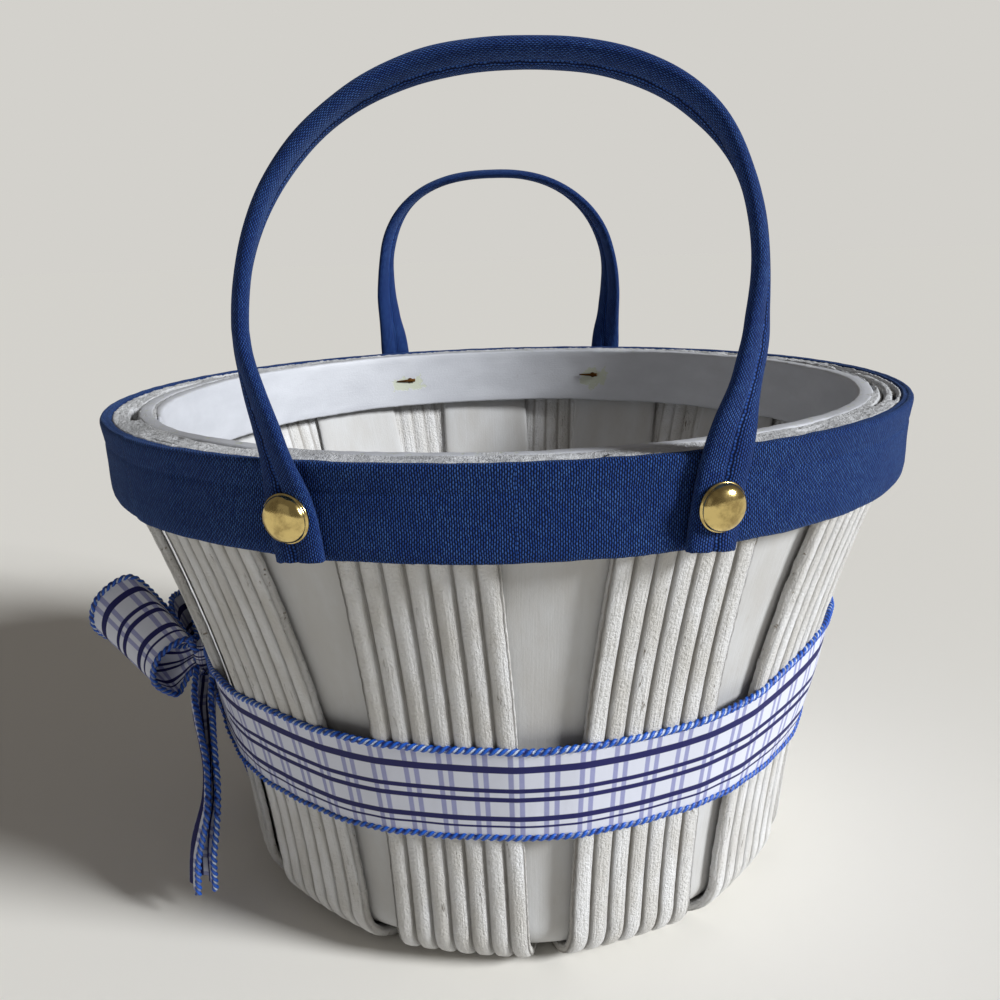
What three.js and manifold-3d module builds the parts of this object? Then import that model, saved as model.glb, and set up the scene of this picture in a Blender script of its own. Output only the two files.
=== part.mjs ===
// A round splint basket. Ribbed and smooth wooden staves stand in two layers
// between an inner and an outer hoop and are clamped under a round bottom board.
// Two strap handles are nailed through the rim, and a ribbon is tied round it.
//
// Millimetres, +Z up. The origin is the middle of the face the basket stands on.
// An azimuth of 0 is the front, at -Y, and it grows towards +X.

import * as THREE from "three";
import { mergeVertices } from "three/addons/utils/BufferGeometryUtils.js";
import Module from "manifold-3d";

// Overall size
const RIM_DIAMETER = 280; // over the cloth, at the top edge
const BASKET_HEIGHT = 173;
const WAIST_DIAMETER = 208; // over the ribbed staves, just above the rounded foot
const FOOT_TURN = 18; // outer radius of the bend at the foot
const FOOT_FLAT = 2; // width of the ring that touches the ground
const FLARE_LEAN = 0.38; // share of the flare that leans straight, the rest curves

// Rim
const HOOP_HEIGHT = 24.2;
const RIM_LEAN = 1.4; // how far the rim leans out over its height
const CLOTH_THICKNESS = 0.8;
const CLOTH_FOLD = 8; // how far the cloth is folded down inside the outer hoop
const OUTER_HOOP_THICKNESS = 3;
const INNER_HOOP_THICKNESS = 5;
const HOOP_SLIT = 0.4; // degrees between the butted ends of the outer hoop
const OUTER_HOOP_JOINT = 140; // azimuth of those ends
const LAP_START = -125; // azimuth where the inner hoop's lap begins
const LAP_ARC = 60;
const LAP_TAPER = 25;
const LAP_RAMP = 10;
const LAP_TIP = 1.2; // thickness of the tapered ends

// Staves
const STAVE_PAIRS = 12;
const FIRST_RIBBED_AZIMUTH = -11;
const RIBBED_WIDTH = 40;
const RIBBED_THICKNESS = 3.2;
const RIB_COUNT = 7;
const RIB_DEPTH = 1.3;
const RIB_CREST = 0.6; // share of a rib's pitch that is crest
const SMOOTH_WIDTH = 43;
const SMOOTH_THICKNESS = 2.2;
const SMOOTH_END_WIDTH = 24; // under the bottom board
const STAVE_TOP_DROP = 1; // below the rim's top
const STAVE_BEND_DROP = 2; // the staves bend into the rim this far below the hoops
const STAVE_SIDE_GAP = 0.8; // least gap between two staves of one layer

// Bottom
const BOARD_INSET = 14; // from the waist to the bottom board's edge
const BOARD_THICKNESS = 5;
const BASE_DISC_INSET = 12; // from the middle of the bend at the foot to the base disc's edge
const BASE_DISC_THICKNESS = 2.7;
const TUCK_MARGIN = 2; // from the base disc's edge to the bend over it
const TACK_INSET = 3; // from the base disc's edge to the tacks
const STAVE_END_COVER = 5; // how far the staves' ends reach in past the tacks
const TACK_SHANK = 1.8; // diameter
const TACK_HEAD = 5; // diameter
const TACK_HEAD_HEIGHT = 0.8;
const TACK_TIP_WALL = 1; // wood left under the tacks' points

// Handles
const FRONT_HANDLE_AZIMUTH = -1.2;
const BACK_HANDLE_AZIMUTH = 180;
const HANDLE_SPREAD = 21.4; // azimuth from a handle's middle to each of its feet
const STRAP_WIDTH = 14;
const STRAP_THICKNESS = 3.8;
const SEAM_WIDTH = 1.8;
const SEAM_DEPTH = 0.5;
const ARCH_SHOULDER = 32; // height of the widest place over the rim
const FRONT_ARCH_WIDTH = 119.2; // between the middles of the strap at its widest
const FRONT_ARCH_RISE = 57; // from there to the middle of the strap at the top
const FRONT_ARCH_SKEW = 3.7; // how far the top of the arch sits to one side
const FRONT_ARCH_SQUARENESS = [2.19, 2.48]; // of its left and right halves, 2 is an ellipse
const BACK_ARCH_WIDTH = 111;
const BACK_ARCH_RISE = 52.5;
const BACK_ARCH_SKEW = -0.8;
const BACK_ARCH_SQUARENESS = [2.18, 2.63];
const LEG_EASE = 1.6;
const TWIST_HEIGHT = 40; // at this height over the rim the strap's edge faces the front
const SWING_HEIGHT = 5; // the strap bends at this height over the rim
const KNUCKLE_RADIUS = 4.6; // of the strap's rounded foot, about the line it bends on
const TAB_OVERHANG = 0.4; // the cut end of the strap hangs below the cloth

// Domed nails
const NAIL_DROP = 13; // from the rim's top to the nails
const NAIL_DOME = 12; // diameter
const NAIL_DOME_HEIGHT = 4;
const NAIL_LIP = 0.7;
const NAIL_SHANK = 2.4; // diameter
const CLINCH_LENGTH = 9;
const CLINCH_WIDTH = 1.8;
const CLINCH_THICKNESS = 1;

// Ribbon
const RIBBON_WIDTH = 31;
const RIBBON_THICKNESS = 0.8;
const RIBBON_FRONT_HEIGHT = 70.4; // of its middle line
const RIBBON_BACK_HEIGHT = 86;
const RIBBON_HIGH_AZIMUTH = 140; // where it lies highest
const RIBBON_LEVEL_ARC = 20; // it stays high this far to each side
const RIBBON_FALL_ARC = 105;
const RIBBON_END_SLIT = 0.6; // degrees, under the knot
const KNOT_AZIMUTH = -79;
const KNOT_HEIGHT = 79;
const KNOT_LENGTH = 9;
const KNOT_WIDTH = 11;
const KNOT_THICKNESS = 6;
const KNOT_PULL_ARC = 9; // how far along the ribbon the knot gathers it
const GATHERED_WIDTH = 9;

// Bow. A direction is [outwards, towards the front, up] at the knot, and a loop's
// middle line passes the places that lie in these ways from the knot's surface
const FRONT_LOOP = {
  leaves: [0.55, 0.35, 0.75],
  middle: [[6, -2, 9], [11.5, -2.5, 15.5], [22, -0.5, 11.5], [24.5, -1, 2.5], [17, -3.5, -4.5], [7, -3, -3.5]],
  returns: [0.9, -0.3, -0.3],
  across: [0.62, -0.48, 0.62],
};
const BACK_LOOP = {
  leaves: [0.4, -0.9, 0.1],
  middle: [[4, -6, 0.5], [5.5, -14, 1], [3.5, -23, 1], [-0.5, -27, 0.5], [-1.5, -22, 0], [0.5, -12.5, 0]],
  returns: [0.15, -1, 0.05],
  across: [0.3, 0.1, 0.95],
};
const LOOP_FAN = 22; // the ribbon has its full width this far along from the knot
const TAIL_WIDTH = 9; // its edges are rolled in
const TAIL_NECK_WIDTH = 4.6; // where it leaves the knot
const TAIL_NECK = 0.3; // share of the tail's length that widens
const TAIL_THICKNESS = 2.6;
const TAIL_BELLY_HEIGHT = 50; // a tail swings out towards this height and down to its end
const TAIL_END_HEIGHT = 11;
const FRONT_TAIL_BELLY_ARC = 26; // degrees round from the knot
const FRONT_TAIL_BELLY_OUT = 14; // from the staves
const FRONT_TAIL_END_ARC = 20.4;
const FRONT_TAIL_END_OUT = 24.7;
const BACK_TAIL_BELLY_ARC = -8;
const BACK_TAIL_BELLY_OUT = 3.5;
const BACK_TAIL_END_ARC = -15;
const BACK_TAIL_END_OUT = 3.5;

// Fits
const CLEARANCE = 0.3; // between pieces that touch
const HOOP_CLEARANCE = 0.4; // between the smooth staves and the inner hoop
const RIBBON_CLEARANCE = 0.4; // between the ribs and the ribbon
const HOLE_CLEARANCE = 0.3; // round a nail or tack, in radius

// Steps of the curved forms
const RING_STEPS = 60;
const DISC_STEPS = 48;
const FOOT_STEPS = 3;
const SIDE_STEPS = 4;
const ARCH_STEPS = 18;
const LEG_STEPS = 5;
const LOOP_STEPS = 16;
const TAIL_STEPS = 10;
const NAIL_STEPS = 16;
const DOME_STEPS = 4;
const SHANK_STEPS = 6;
const KNOT_STEPS = 12;

const kernel = await Module();
kernel.setup();

const radians = THREE.MathUtils.degToRad;
const degrees = THREE.MathUtils.radToDeg;
const UP = new THREE.Vector3(0, 0, 1);

// Heights and radii that the sizes above give
const hoopBottom = BASKET_HEIGHT - HOOP_HEIGHT;
const outerHoopDepth = CLOTH_THICKNESS + CLEARANCE;
const innerFoldDepth = outerHoopDepth + OUTER_HOOP_THICKNESS + CLEARANCE;
const staveDepth = innerFoldDepth + CLOTH_THICKNESS + CLEARANCE;
const smoothLayer = RIBBED_THICKNESS + CLEARANCE; // below the ribbed staves' outer face
const innerHoopDepth = staveDepth + smoothLayer + SMOOTH_THICKNESS + HOOP_CLEARANCE;
const rimFaceDepth = innerHoopDepth + INNER_HOOP_THICKNESS;
const tuckHeight = BASE_DISC_THICKNESS + CLEARANCE;
const boardBottom = tuckHeight + smoothLayer + SMOOTH_THICKNESS + CLEARANCE;
const boardTop = boardBottom + BOARD_THICKNESS;
const bendRadius = WAIST_DIAMETER / 2 - FOOT_TURN; // to the middle of the bend at the foot
const baseDiscRadius = bendRadius - BASE_DISC_INSET;
const tackRadius = baseDiscRadius - TACK_INSET;
const staveEndRadius = tackRadius - STAVE_END_COVER;
const nailHeight = BASKET_HEIGHT - NAIL_DROP;
const swingHeight = BASKET_HEIGHT + SWING_HEIGHT;
const footRadius = RIM_DIAMETER / 2 + CLEARANCE + STRAP_THICKNESS / 2;
const rimTilt = Math.atan(RIM_LEAN / HOOP_HEIGHT);

/** A point at an azimuth in degrees, a radius and a height. */
function polar(azimuth, radius, height) {
  const angle = radians(azimuth);
  return new THREE.Vector3(radius * Math.sin(angle), -radius * Math.cos(angle), height);
}

/** Radius of the rim's outer face at a height. */
function rimRadius(height) {
  return RIM_DIAMETER / 2 - (RIM_LEAN * (BASKET_HEIGHT - height)) / HOOP_HEIGHT;
}

/** Goes smoothly from 0 to 1 as x goes from low to high. */
function ease(x, low, high) {
  return THREE.MathUtils.smoothstep(x, low, high);
}

// Solids

/** Merges a geometry's vertices, drops empty triangles and turns its faces outwards. */
function tidy(geometry) {
  geometry.deleteAttribute("normal");
  geometry.deleteAttribute("uv");
  const merged = mergeVertices(geometry, 1e-4);
  const position = merged.getAttribute("position");
  const corners = Array.from(merged.getIndex().array);
  const kept = [];
  let volume = 0;
  for (let i = 0; i < corners.length; i += 3) {
    const [a, b, c] = corners.slice(i, i + 3);
    if (a === b || b === c || c === a) continue;
    const [p, q, r] = [a, b, c].map((k) => new THREE.Vector3().fromBufferAttribute(position, k));
    volume += p.dot(q.cross(r));
    kept.push(a, b, c);
  }
  merged.setIndex(volume > 0 ? kept : kept.reverse());
  merged.computeVertexNormals();
  return merged;
}

/** A closed skin over rings of points, with flat ends unless the rings close on themselves. */
function loft(rings, closed = false) {
  const count = rings[0].length;
  const spans = closed ? rings.length : rings.length - 1;
  const index = [];
  for (let i = 0; i < spans; i += 1) {
    const here = i * count;
    const next = ((i + 1) % rings.length) * count;
    for (let j = 0; j < count; j += 1) {
      const k = (j + 1) % count;
      index.push(here + j, next + j, next + k);
      index.push(here + j, next + k, here + k);
    }
  }
  if (!closed) {
    const last = (rings.length - 1) * count;
    for (const [a, b, c] of endFaces(rings[0])) index.push(a, b, c);
    for (const [a, b, c] of endFaces(rings[rings.length - 1])) index.push(last + c, last + b, last + a);
  }
  const geometry = new THREE.BufferGeometry();
  const points = rings.flat().flatMap((p) => p.toArray());
  geometry.setAttribute("position", new THREE.Float32BufferAttribute(points, 3));
  geometry.setIndex(index);
  return tidy(geometry);
}

/** Triangles that close one ring, wound the way the ring runs. */
function endFaces(ring) {
  const normal = new THREE.Vector3();
  ring.forEach((p, i) => normal.add(new THREE.Vector3().crossVectors(p, ring[(i + 1) % ring.length])));
  normal.normalize();
  const seed = Math.abs(normal.z) < 0.9 ? UP : new THREE.Vector3(1, 0, 0);
  const u = new THREE.Vector3().crossVectors(seed, normal).normalize();
  const v = new THREE.Vector3().crossVectors(normal, u);
  const flat = ring.map((p) => new THREE.Vector2(p.dot(u), p.dot(v)));
  return THREE.ShapeUtils.triangulateShape(flat, []).map(([a, b, c]) => {
    const turn = flat[b].clone().sub(flat[a]).cross(flat[c].clone().sub(flat[a]));
    return turn > 0 ? [a, b, c] : [a, c, b];
  });
}

/** A solid for cutting and joining. */
function toSolid(geometry) {
  const vertProperties = new Float32Array(geometry.getAttribute("position").array);
  const triVerts = new Uint32Array(geometry.getIndex().array);
  return new kernel.Manifold(new kernel.Mesh({ numProp: 3, vertProperties, triVerts }));
}

/** The geometry of a solid. */
function toGeometry(solid) {
  const mesh = solid.getMesh();
  const geometry = new THREE.BufferGeometry();
  geometry.setAttribute("position", new THREE.BufferAttribute(new Float32Array(mesh.vertProperties), 3));
  geometry.setIndex(Array.from(mesh.triVerts));
  geometry.computeVertexNormals();
  return geometry;
}

/** The geometry with each of the cutters taken away. */
function cut(geometry, cutters) {
  if (cutters.length === 0) return geometry;
  const whole = toSolid(geometry);
  return toGeometry(cutters.reduce((solid, cutter) => solid.subtract(toSolid(cutter)), whole));
}

/** An upright cylinder between two heights. */
function cylinder(diameter, bottom, top, steps) {
  const geometry = new THREE.CylinderGeometry(diameter / 2, diameter / 2, top - bottom, steps);
  geometry.rotateX(Math.PI / 2);
  geometry.translate(0, 0, (bottom + top) / 2);
  return tidy(geometry);
}

/** A round solid about Z from the points of its outline, [radius, height], bottom first. */
function turned(outline, steps) {
  const geometry = new THREE.LatheGeometry(
    outline.map(([radius, height]) => new THREE.Vector2(radius, height)),
    steps,
  );
  geometry.rotateX(Math.PI / 2);
  return tidy(geometry);
}

// Side of the basket

/** Outer face of the ribbed staves as [radius, height], from their ends under the board up. */
function staveFace() {
  const waist = WAIST_DIAMETER / 2;
  const face = [
    [staveEndRadius, tuckHeight],
    [baseDiscRadius + TUCK_MARGIN, tuckHeight],
    [bendRadius - FOOT_FLAT, 0],
  ];
  for (let i = 0; i <= FOOT_STEPS; i += 1) {
    const angle = (i / FOOT_STEPS - 1) * (Math.PI / 2);
    const radius = bendRadius + FOOT_TURN * Math.cos(angle);
    face.push([radius, FOOT_TURN * (1 + Math.sin(angle))]);
  }
  const mouth = hoopBottom - STAVE_BEND_DROP;
  const flare = rimRadius(mouth) - staveDepth - waist;
  for (let i = 1; i <= SIDE_STEPS; i += 1) {
    const t = i / SIDE_STEPS;
    const height = FOOT_TURN + t * (mouth - FOOT_TURN);
    face.push([waist + flare * (FLARE_LEAN * t + (1 - FLARE_LEAN) * t * t), height]);
  }
  const top = BASKET_HEIGHT - STAVE_TOP_DROP;
  face.push([rimRadius(top) - staveDepth, top]);
  return face.map(([radius, height]) => new THREE.Vector2(radius, height));
}

const FACE = staveFace();

/** Outward normals of the stave face, one at each of its points. */
const FACE_NORMALS = FACE.map((point, i) => {
  const before = FACE[Math.max(i - 1, 0)];
  const after = FACE[Math.min(i + 1, FACE.length - 1)];
  const along = after.clone().sub(before).normalize();
  return new THREE.Vector2(along.y, -along.x);
});

/** Radius of the ribbed staves' outer face at a height above the foot's bend. */
function faceRadius(height) {
  const i = FACE.findIndex((point, k) => k > 0 && FACE[k - 1].y >= FOOT_TURN - 1e-6 && point.y >= height);
  const upper = FACE[i < 0 ? FACE.length - 1 : i];
  const lower = FACE[i < 0 ? FACE.length - 2 : i - 1];
  return lower.x + ((upper.x - lower.x) * (height - lower.y)) / (upper.y - lower.y);
}

/** Section of a ribbed stave as [share of its half width, depth below the outer face]. */
function ribbedSection() {
  const pitch = 2 / RIB_COUNT;
  const side = (pitch * (1 - RIB_CREST)) / 2;
  const section = [[-1, RIB_DEPTH]];
  for (let i = 0; i < RIB_COUNT; i += 1) {
    const left = -1 + i * pitch;
    section.push([left + side, 0]);
    section.push([left + pitch - side, 0]);
    section.push([left + pitch, RIB_DEPTH]);
  }
  for (const share of [1, 1 / 3, -1 / 3, -1]) section.push([share, RIBBED_THICKNESS]);
  return section;
}

/** Section of a smooth stave, which lies behind the ribbed ones. */
function smoothSection() {
  const shares = [-1, -1 / 3, 1 / 3, 1];
  const outside = shares.map((share) => [share, smoothLayer]);
  const inside = shares.map((share) => [share, smoothLayer + SMOOTH_THICKNESS]);
  return [...outside, ...inside.reverse()];
}

/** One stave at azimuth 0: its section carried along the side, as wide as there is room for. */
function stave(section, width, endWidth) {
  const footRing = FACE[2].x;
  const rings = FACE.map((point, i) => {
    const room = point.x * Math.sin(Math.PI / STAVE_PAIRS) - STAVE_SIDE_GAP / 2;
    const tuck = ease(point.x, staveEndRadius, footRing);
    const half = Math.min(width / 2, room, THREE.MathUtils.lerp(endWidth, width, tuck) / 2);
    return section.map(([share, depth]) => {
      const radius = point.x - depth * FACE_NORMALS[i].x;
      const height = point.y - depth * FACE_NORMALS[i].y;
      return polar(degrees((share * half) / point.x), radius, height);
    });
  });
  return loft(rings);
}

// Holes for the nails and the tacks

const FRONT_FEET = [-1, 1].map((side) => FRONT_HANDLE_AZIMUTH + side * HANDLE_SPREAD);
const BACK_FEET = [-1, 1].map((side) => BACK_HANDLE_AZIMUTH + side * HANDLE_SPREAD);
const NAIL_AZIMUTHS = [...FRONT_FEET, ...BACK_FEET];

/** Turns what is built about +Z, with its seat at the origin, to a nail's place at an azimuth. */
function toNailPlace(geometry, azimuth) {
  geometry.rotateX(Math.PI / 2 + rimTilt);
  const seat = rimRadius(nailHeight) + CLEARANCE + STRAP_THICKNESS;
  geometry.translate(0, -seat, nailHeight);
  return geometry.rotateZ(radians(azimuth));
}

/** The hole of one nail, right through the rim. */
function nailHole(azimuth) {
  const reach = rimFaceDepth + STRAP_THICKNESS + NAIL_DOME;
  const hole = cylinder(NAIL_SHANK + 2 * HOLE_CLEARANCE, -reach, NAIL_DOME, SHANK_STEPS);
  return toNailPlace(hole, azimuth);
}

/** The nail holes that pass within half a width of a piece standing at an azimuth. */
function nailHolesNear(azimuth, halfWidth) {
  const reach = degrees((halfWidth + NAIL_SHANK) / rimRadius(nailHeight));
  return NAIL_AZIMUTHS.map((nail) => THREE.MathUtils.euclideanModulo(nail - azimuth + 180, 360) - 180)
    .filter((away) => Math.abs(away) < reach)
    .map((away) => nailHole(away));
}

/** The hole of one tack at azimuth 0, from a height up. */
function tackHole(azimuth, bottom, top) {
  const hole = cylinder(TACK_SHANK + 2 * HOLE_CLEARANCE, bottom, top, SHANK_STEPS);
  hole.translate(0, -tackRadius, 0);
  return hole.rotateZ(radians(azimuth));
}

/** Azimuth of a ribbed stave and of the tack through its end. */
function ribbedAzimuth(i) {
  return FIRST_RIBBED_AZIMUTH + (i * 360) / STAVE_PAIRS;
}

// Pieces

const FINISHES = {
  paint: { color: 0xd9dade, roughness: 0.75, metalness: 0 },
  cream: { color: 0xdcd8cc, roughness: 0.75, metalness: 0 },
  canvas: { color: 0x1f3a7c, roughness: 0.9, metalness: 0 },
  brass: { color: 0xd6ae4a, roughness: 0.2, metalness: 1 },
  steel: { color: 0xb8b8b8, roughness: 0.45, metalness: 1 },
  ribbon: { color: 0xdfe2f2, roughness: 0.5, metalness: 0 },
};

const basket = new THREE.Group();

/** Adds a named piece, turned about the basket's axis. */
function add(name, geometry, finish, azimuth = 0, parent = basket) {
  const mesh = new THREE.Mesh(geometry, new THREE.MeshStandardMaterial(FINISHES[finish]));
  mesh.name = name;
  mesh.rotation.z = radians(azimuth);
  parent.add(mesh);
  return mesh;
}

/** Two digits for a repeated piece's name. */
function numbered(i) {
  return String(i + 1).padStart(2, "0");
}

/** Adds both layers of staves. */
function addStaves() {
  const ribbed = cut(stave(ribbedSection(), RIBBED_WIDTH, RIBBED_WIDTH), [tackHole(0, 0, boardTop)]);
  const smooth = stave(smoothSection(), SMOOTH_WIDTH, SMOOTH_END_WIDTH);
  for (let i = 0; i < STAVE_PAIRS; i += 1) {
    const outside = ribbedAzimuth(i);
    const inside = outside + 180 / STAVE_PAIRS;
    const holesOutside = nailHolesNear(outside, RIBBED_WIDTH / 2);
    const holesInside = nailHolesNear(inside, SMOOTH_WIDTH / 2);
    add(`ribbed_stave_${numbered(i)}`, cut(ribbed, holesOutside), "paint", outside);
    add(`smooth_stave_${numbered(i)}`, cut(smooth, holesInside), "cream", inside);
  }
}

/** A ring of the rim from its section, [depth below the cloth, height], between two azimuths. */
function rimRing(section, start, end, closed) {
  const steps = Math.round((Math.abs(end - start) / 360) * RING_STEPS);
  const rings = [];
  for (let i = 0; i <= steps - (closed ? 1 : 0); i += 1) {
    const azimuth = start + ((end - start) * i) / steps;
    rings.push(section(azimuth).map(([depth, height]) => polar(azimuth, rimRadius(height) - depth, height)));
  }
  return loft(rings, closed);
}

/** The outer hoop, a strip whose ends meet in a butt joint. */
function outerHoop() {
  const top = BASKET_HEIGHT - CLOTH_THICKNESS - CLEARANCE;
  const inside = outerHoopDepth + OUTER_HOOP_THICKNESS;
  const section = () => [
    [outerHoopDepth, hoopBottom],
    [outerHoopDepth, top],
    [inside, top],
    [inside, hoopBottom],
  ];
  return rimRing(section, OUTER_HOOP_JOINT, OUTER_HOOP_JOINT + 360 - HOOP_SLIT, false);
}

/** The cloth round the outer hoop, folded over its top and down inside. */
function rimCloth() {
  const top = BASKET_HEIGHT;
  const under = top - CLOTH_THICKNESS;
  const fold = top - CLOTH_FOLD;
  const inside = innerFoldDepth + CLOTH_THICKNESS;
  const section = () => [
    [0, hoopBottom],
    [0, top],
    [inside, top],
    [inside, fold],
    [innerFoldDepth, fold],
    [innerFoldDepth, under],
    [CLOTH_THICKNESS, under],
    [CLOTH_THICKNESS, hoopBottom],
  ];
  return rimRing(section, 0, 360, true);
}

/** The inner hoop, a strip that overlaps itself in a long tapered lap. */
function innerHoop() {
  const end = LAP_START + 360 + LAP_ARC;
  const thickness = (azimuth) => {
    const fromEnd = Math.min(azimuth - LAP_START, end - azimuth);
    return THREE.MathUtils.lerp(LAP_TIP, INNER_HOOP_THICKNESS, Math.min(fromEnd / LAP_TAPER, 1));
  };
  const offset = (azimuth) => {
    const past = azimuth - LAP_START - 360;
    if (past >= 0) return thickness(LAP_START + past) + CLEARANCE;
    return Math.max(0, 1 + past / LAP_RAMP) * (LAP_TIP + CLEARANCE);
  };
  const section = (azimuth) => {
    const outside = innerHoopDepth + offset(azimuth);
    const inside = outside + thickness(azimuth);
    return [
      [outside, hoopBottom],
      [outside, BASKET_HEIGHT],
      [inside, BASKET_HEIGHT],
      [inside, hoopBottom],
    ];
  };
  return rimRing(section, LAP_START, end, false);
}

/** Adds the hoops and the cloth. */
function addRim() {
  const holes = NAIL_AZIMUTHS.map(nailHole);
  add("outer_hoop", cut(outerHoop(), holes), "cream");
  add("rim_cloth", cut(rimCloth(), holes), "canvas");
  add("inner_hoop", cut(innerHoop(), holes), "paint");
}

/** Adds the base disc, the bottom board and the tacks that clamp the staves between them. */
function addBottom() {
  const azimuths = Array.from({ length: STAVE_PAIRS }, (_, i) => ribbedAzimuth(i));
  const board = cylinder(WAIST_DIAMETER - 2 * BOARD_INSET, boardBottom, boardTop, DISC_STEPS);
  const disc = cylinder(2 * baseDiscRadius, 0, BASE_DISC_THICKNESS, DISC_STEPS);
  const boardHoles = azimuths.map((azimuth) => tackHole(azimuth, 0, boardTop + TACK_HEAD));
  const discHoles = azimuths.map((azimuth) => tackHole(azimuth, TACK_TIP_WALL, boardTop));
  add("base_disc", cut(disc, discHoles), "paint");
  add("bottom_board", cut(board, boardHoles), "paint");
  azimuths.forEach((azimuth, i) => add(`base_tack_${numbered(i)}`, tack(), "steel", azimuth));
}

/** One tack at azimuth 0, driven down through the bottom board. */
function tack() {
  const seat = boardTop + CLEARANCE;
  const outline = [
    [0, TACK_TIP_WALL + CLEARANCE],
    [TACK_SHANK / 2, TACK_TIP_WALL + CLEARANCE + TACK_SHANK / 2],
    [TACK_SHANK / 2, seat],
    [TACK_HEAD / 2, seat],
    [TACK_HEAD / 3, seat + TACK_HEAD_HEIGHT],
    [0, seat + TACK_HEAD_HEIGHT],
  ];
  return turned(outline, SHANK_STEPS).translate(0, -tackRadius, 0);
}

/** Section of the strap across its width and thickness, with a seam groove on each face. */
function strapSection() {
  const half = STRAP_WIDTH / 2;
  const face = STRAP_THICKNESS / 2;
  const seam = SEAM_WIDTH / 2;
  const groove = face - SEAM_DEPTH;
  const front = [[-half, -face], [-seam, -face], [0, -groove], [seam, -face], [half, -face]];
  const back = front.map(([u, v]) => [-u, -v]);
  return [...front, ...back];
}

/** The strap's section at a place, square to its run and turned to a width direction. */
function strapRing(centre, run, width) {
  const through = new THREE.Vector3().crossVectors(width, run).normalize();
  const across = new THREE.Vector3().crossVectors(run, through).normalize();
  return strapSection().map(([u, v]) =>
    centre.clone().addScaledVector(across, u).addScaledVector(through, v));
}

/** Width direction of the strap at a height, on the left (-1) or right (1) leg. */
function strapWidth(height, side) {
  const turn = ease(height, swingHeight + KNUCKLE_RADIUS, BASKET_HEIGHT + TWIST_HEIGHT);
  const spread = radians(HANDLE_SPREAD);
  const foot = side < 0 ? -spread : spread - Math.PI;
  const angle = THREE.MathUtils.lerp(foot, -Math.PI / 2, turn);
  return new THREE.Vector3(Math.cos(angle), Math.sin(angle), 0);
}

/** Middle line of a handle facing azimuth 0, from the left foot over the arch to the right. */
function archLine({ width, rise, skew, squareness }) {
  const foot = polar(HANDLE_SPREAD, footRadius, swingHeight);
  const shoulder = BASKET_HEIGHT + ARCH_SHOULDER;
  const half = width / 2;
  const start = swingHeight + 1;
  const leg = Array.from({ length: LEG_STEPS }, (_, i) => {
    const t = i / LEG_STEPS;
    const x = half - (half - foot.x) * (1 - t) ** LEG_EASE;
    return new THREE.Vector3(x, foot.y, start + t * (shoulder - start));
  });
  const arch = Array.from({ length: ARCH_STEPS + 1 }, (_, i) => {
    const angle = Math.PI * (1 - i / ARCH_STEPS);
    const power = 2 / squareness[2 * i < ARCH_STEPS ? 0 : 1];
    const lift = Math.sin(angle) ** power;
    const x = half * Math.sign(Math.cos(angle)) * Math.abs(Math.cos(angle)) ** power;
    return new THREE.Vector3(x + skew * lift, foot.y, shoulder + rise * lift);
  });
  const left = leg.map((p) => new THREE.Vector3(-p.x, p.y, p.z));
  return [...left, ...arch, ...leg.reverse()];
}

/** The strap's rounded foot on one side, on the line that the handle swings about. */
function knuckle(side) {
  const centre = polar(side * HANDLE_SPREAD, footRadius, swingHeight);
  const width = strapWidth(BASKET_HEIGHT, side);
  const ends = [-KNUCKLE_RADIUS, KNUCKLE_RADIUS / 2].map((lift) =>
    strapRing(centre.clone().addScaledVector(UP, lift), UP, width));
  const round = new THREE.CylinderGeometry(
    KNUCKLE_RADIUS, KNUCKLE_RADIUS, 2 * STRAP_WIDTH, NAIL_STEPS);
  round.rotateZ(Math.PI / 2);
  round.translate(centre.x, centre.y, centre.z);
  return toSolid(loft(ends)).intersect(toSolid(tidy(round)));
}

/** The part of a handle that swings: the strap's arch with its two rounded feet. */
function handleArch(arch) {
  const line = archLine(arch);
  const middle = (line.length - 1) / 2;
  const rings = line.map((point, i) => {
    const before = line[Math.max(i - 1, 0)];
    const after = line[Math.min(i + 1, line.length - 1)];
    const run = after.clone().sub(before).normalize();
    return strapRing(point, run, strapWidth(point.z, i < middle ? -1 : 1));
  });
  return toGeometry(toSolid(loft(rings)).add(knuckle(-1)).add(knuckle(1)));
}

/** The nailed end of the strap at azimuth 0, hanging over the cloth. */
function strapTab() {
  const width = new THREE.Vector3(1, 0, 0);
  const top = swingHeight - KNUCKLE_RADIUS - CLEARANCE;
  const bottom = hoopBottom - TAB_OVERHANG;
  const rings = [bottom, top].map((height) => {
    const radius = rimRadius(height) + CLEARANCE + STRAP_THICKNESS / 2;
    return strapRing(polar(0, radius, height), UP, width);
  });
  return cut(loft(rings), [nailHole(0)]);
}

/** A domed nail at azimuth 0, through the rim, with its point clinched inside. */
function domedNail() {
  const half = NAIL_DOME / 2;
  const inside = rimFaceDepth + STRAP_THICKNESS + 2 * CLEARANCE;
  const outline = [
    [0, -inside - CLINCH_THICKNESS],
    [NAIL_SHANK / 2, -inside - CLINCH_THICKNESS],
    [NAIL_SHANK / 2, CLEARANCE],
    [half, CLEARANCE],
    [half, CLEARANCE + NAIL_LIP],
  ];
  for (let i = 1; i <= DOME_STEPS; i += 1) {
    const angle = (i / DOME_STEPS) * (Math.PI / 2);
    const height = CLEARANCE + NAIL_LIP + (NAIL_DOME_HEIGHT - NAIL_LIP) * Math.sin(angle);
    outline.push([i === DOME_STEPS ? 0 : half * Math.cos(angle), height]);
  }
  const clinch = new THREE.BoxGeometry(CLINCH_LENGTH, CLINCH_WIDTH, CLINCH_THICKNESS);
  clinch.translate(0, 0, -inside - CLINCH_THICKNESS / 2);
  const nail = toSolid(turned(outline, NAIL_STEPS)).add(toSolid(tidy(clinch)));
  return toNailPlace(toGeometry(nail), 0);
}

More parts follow.
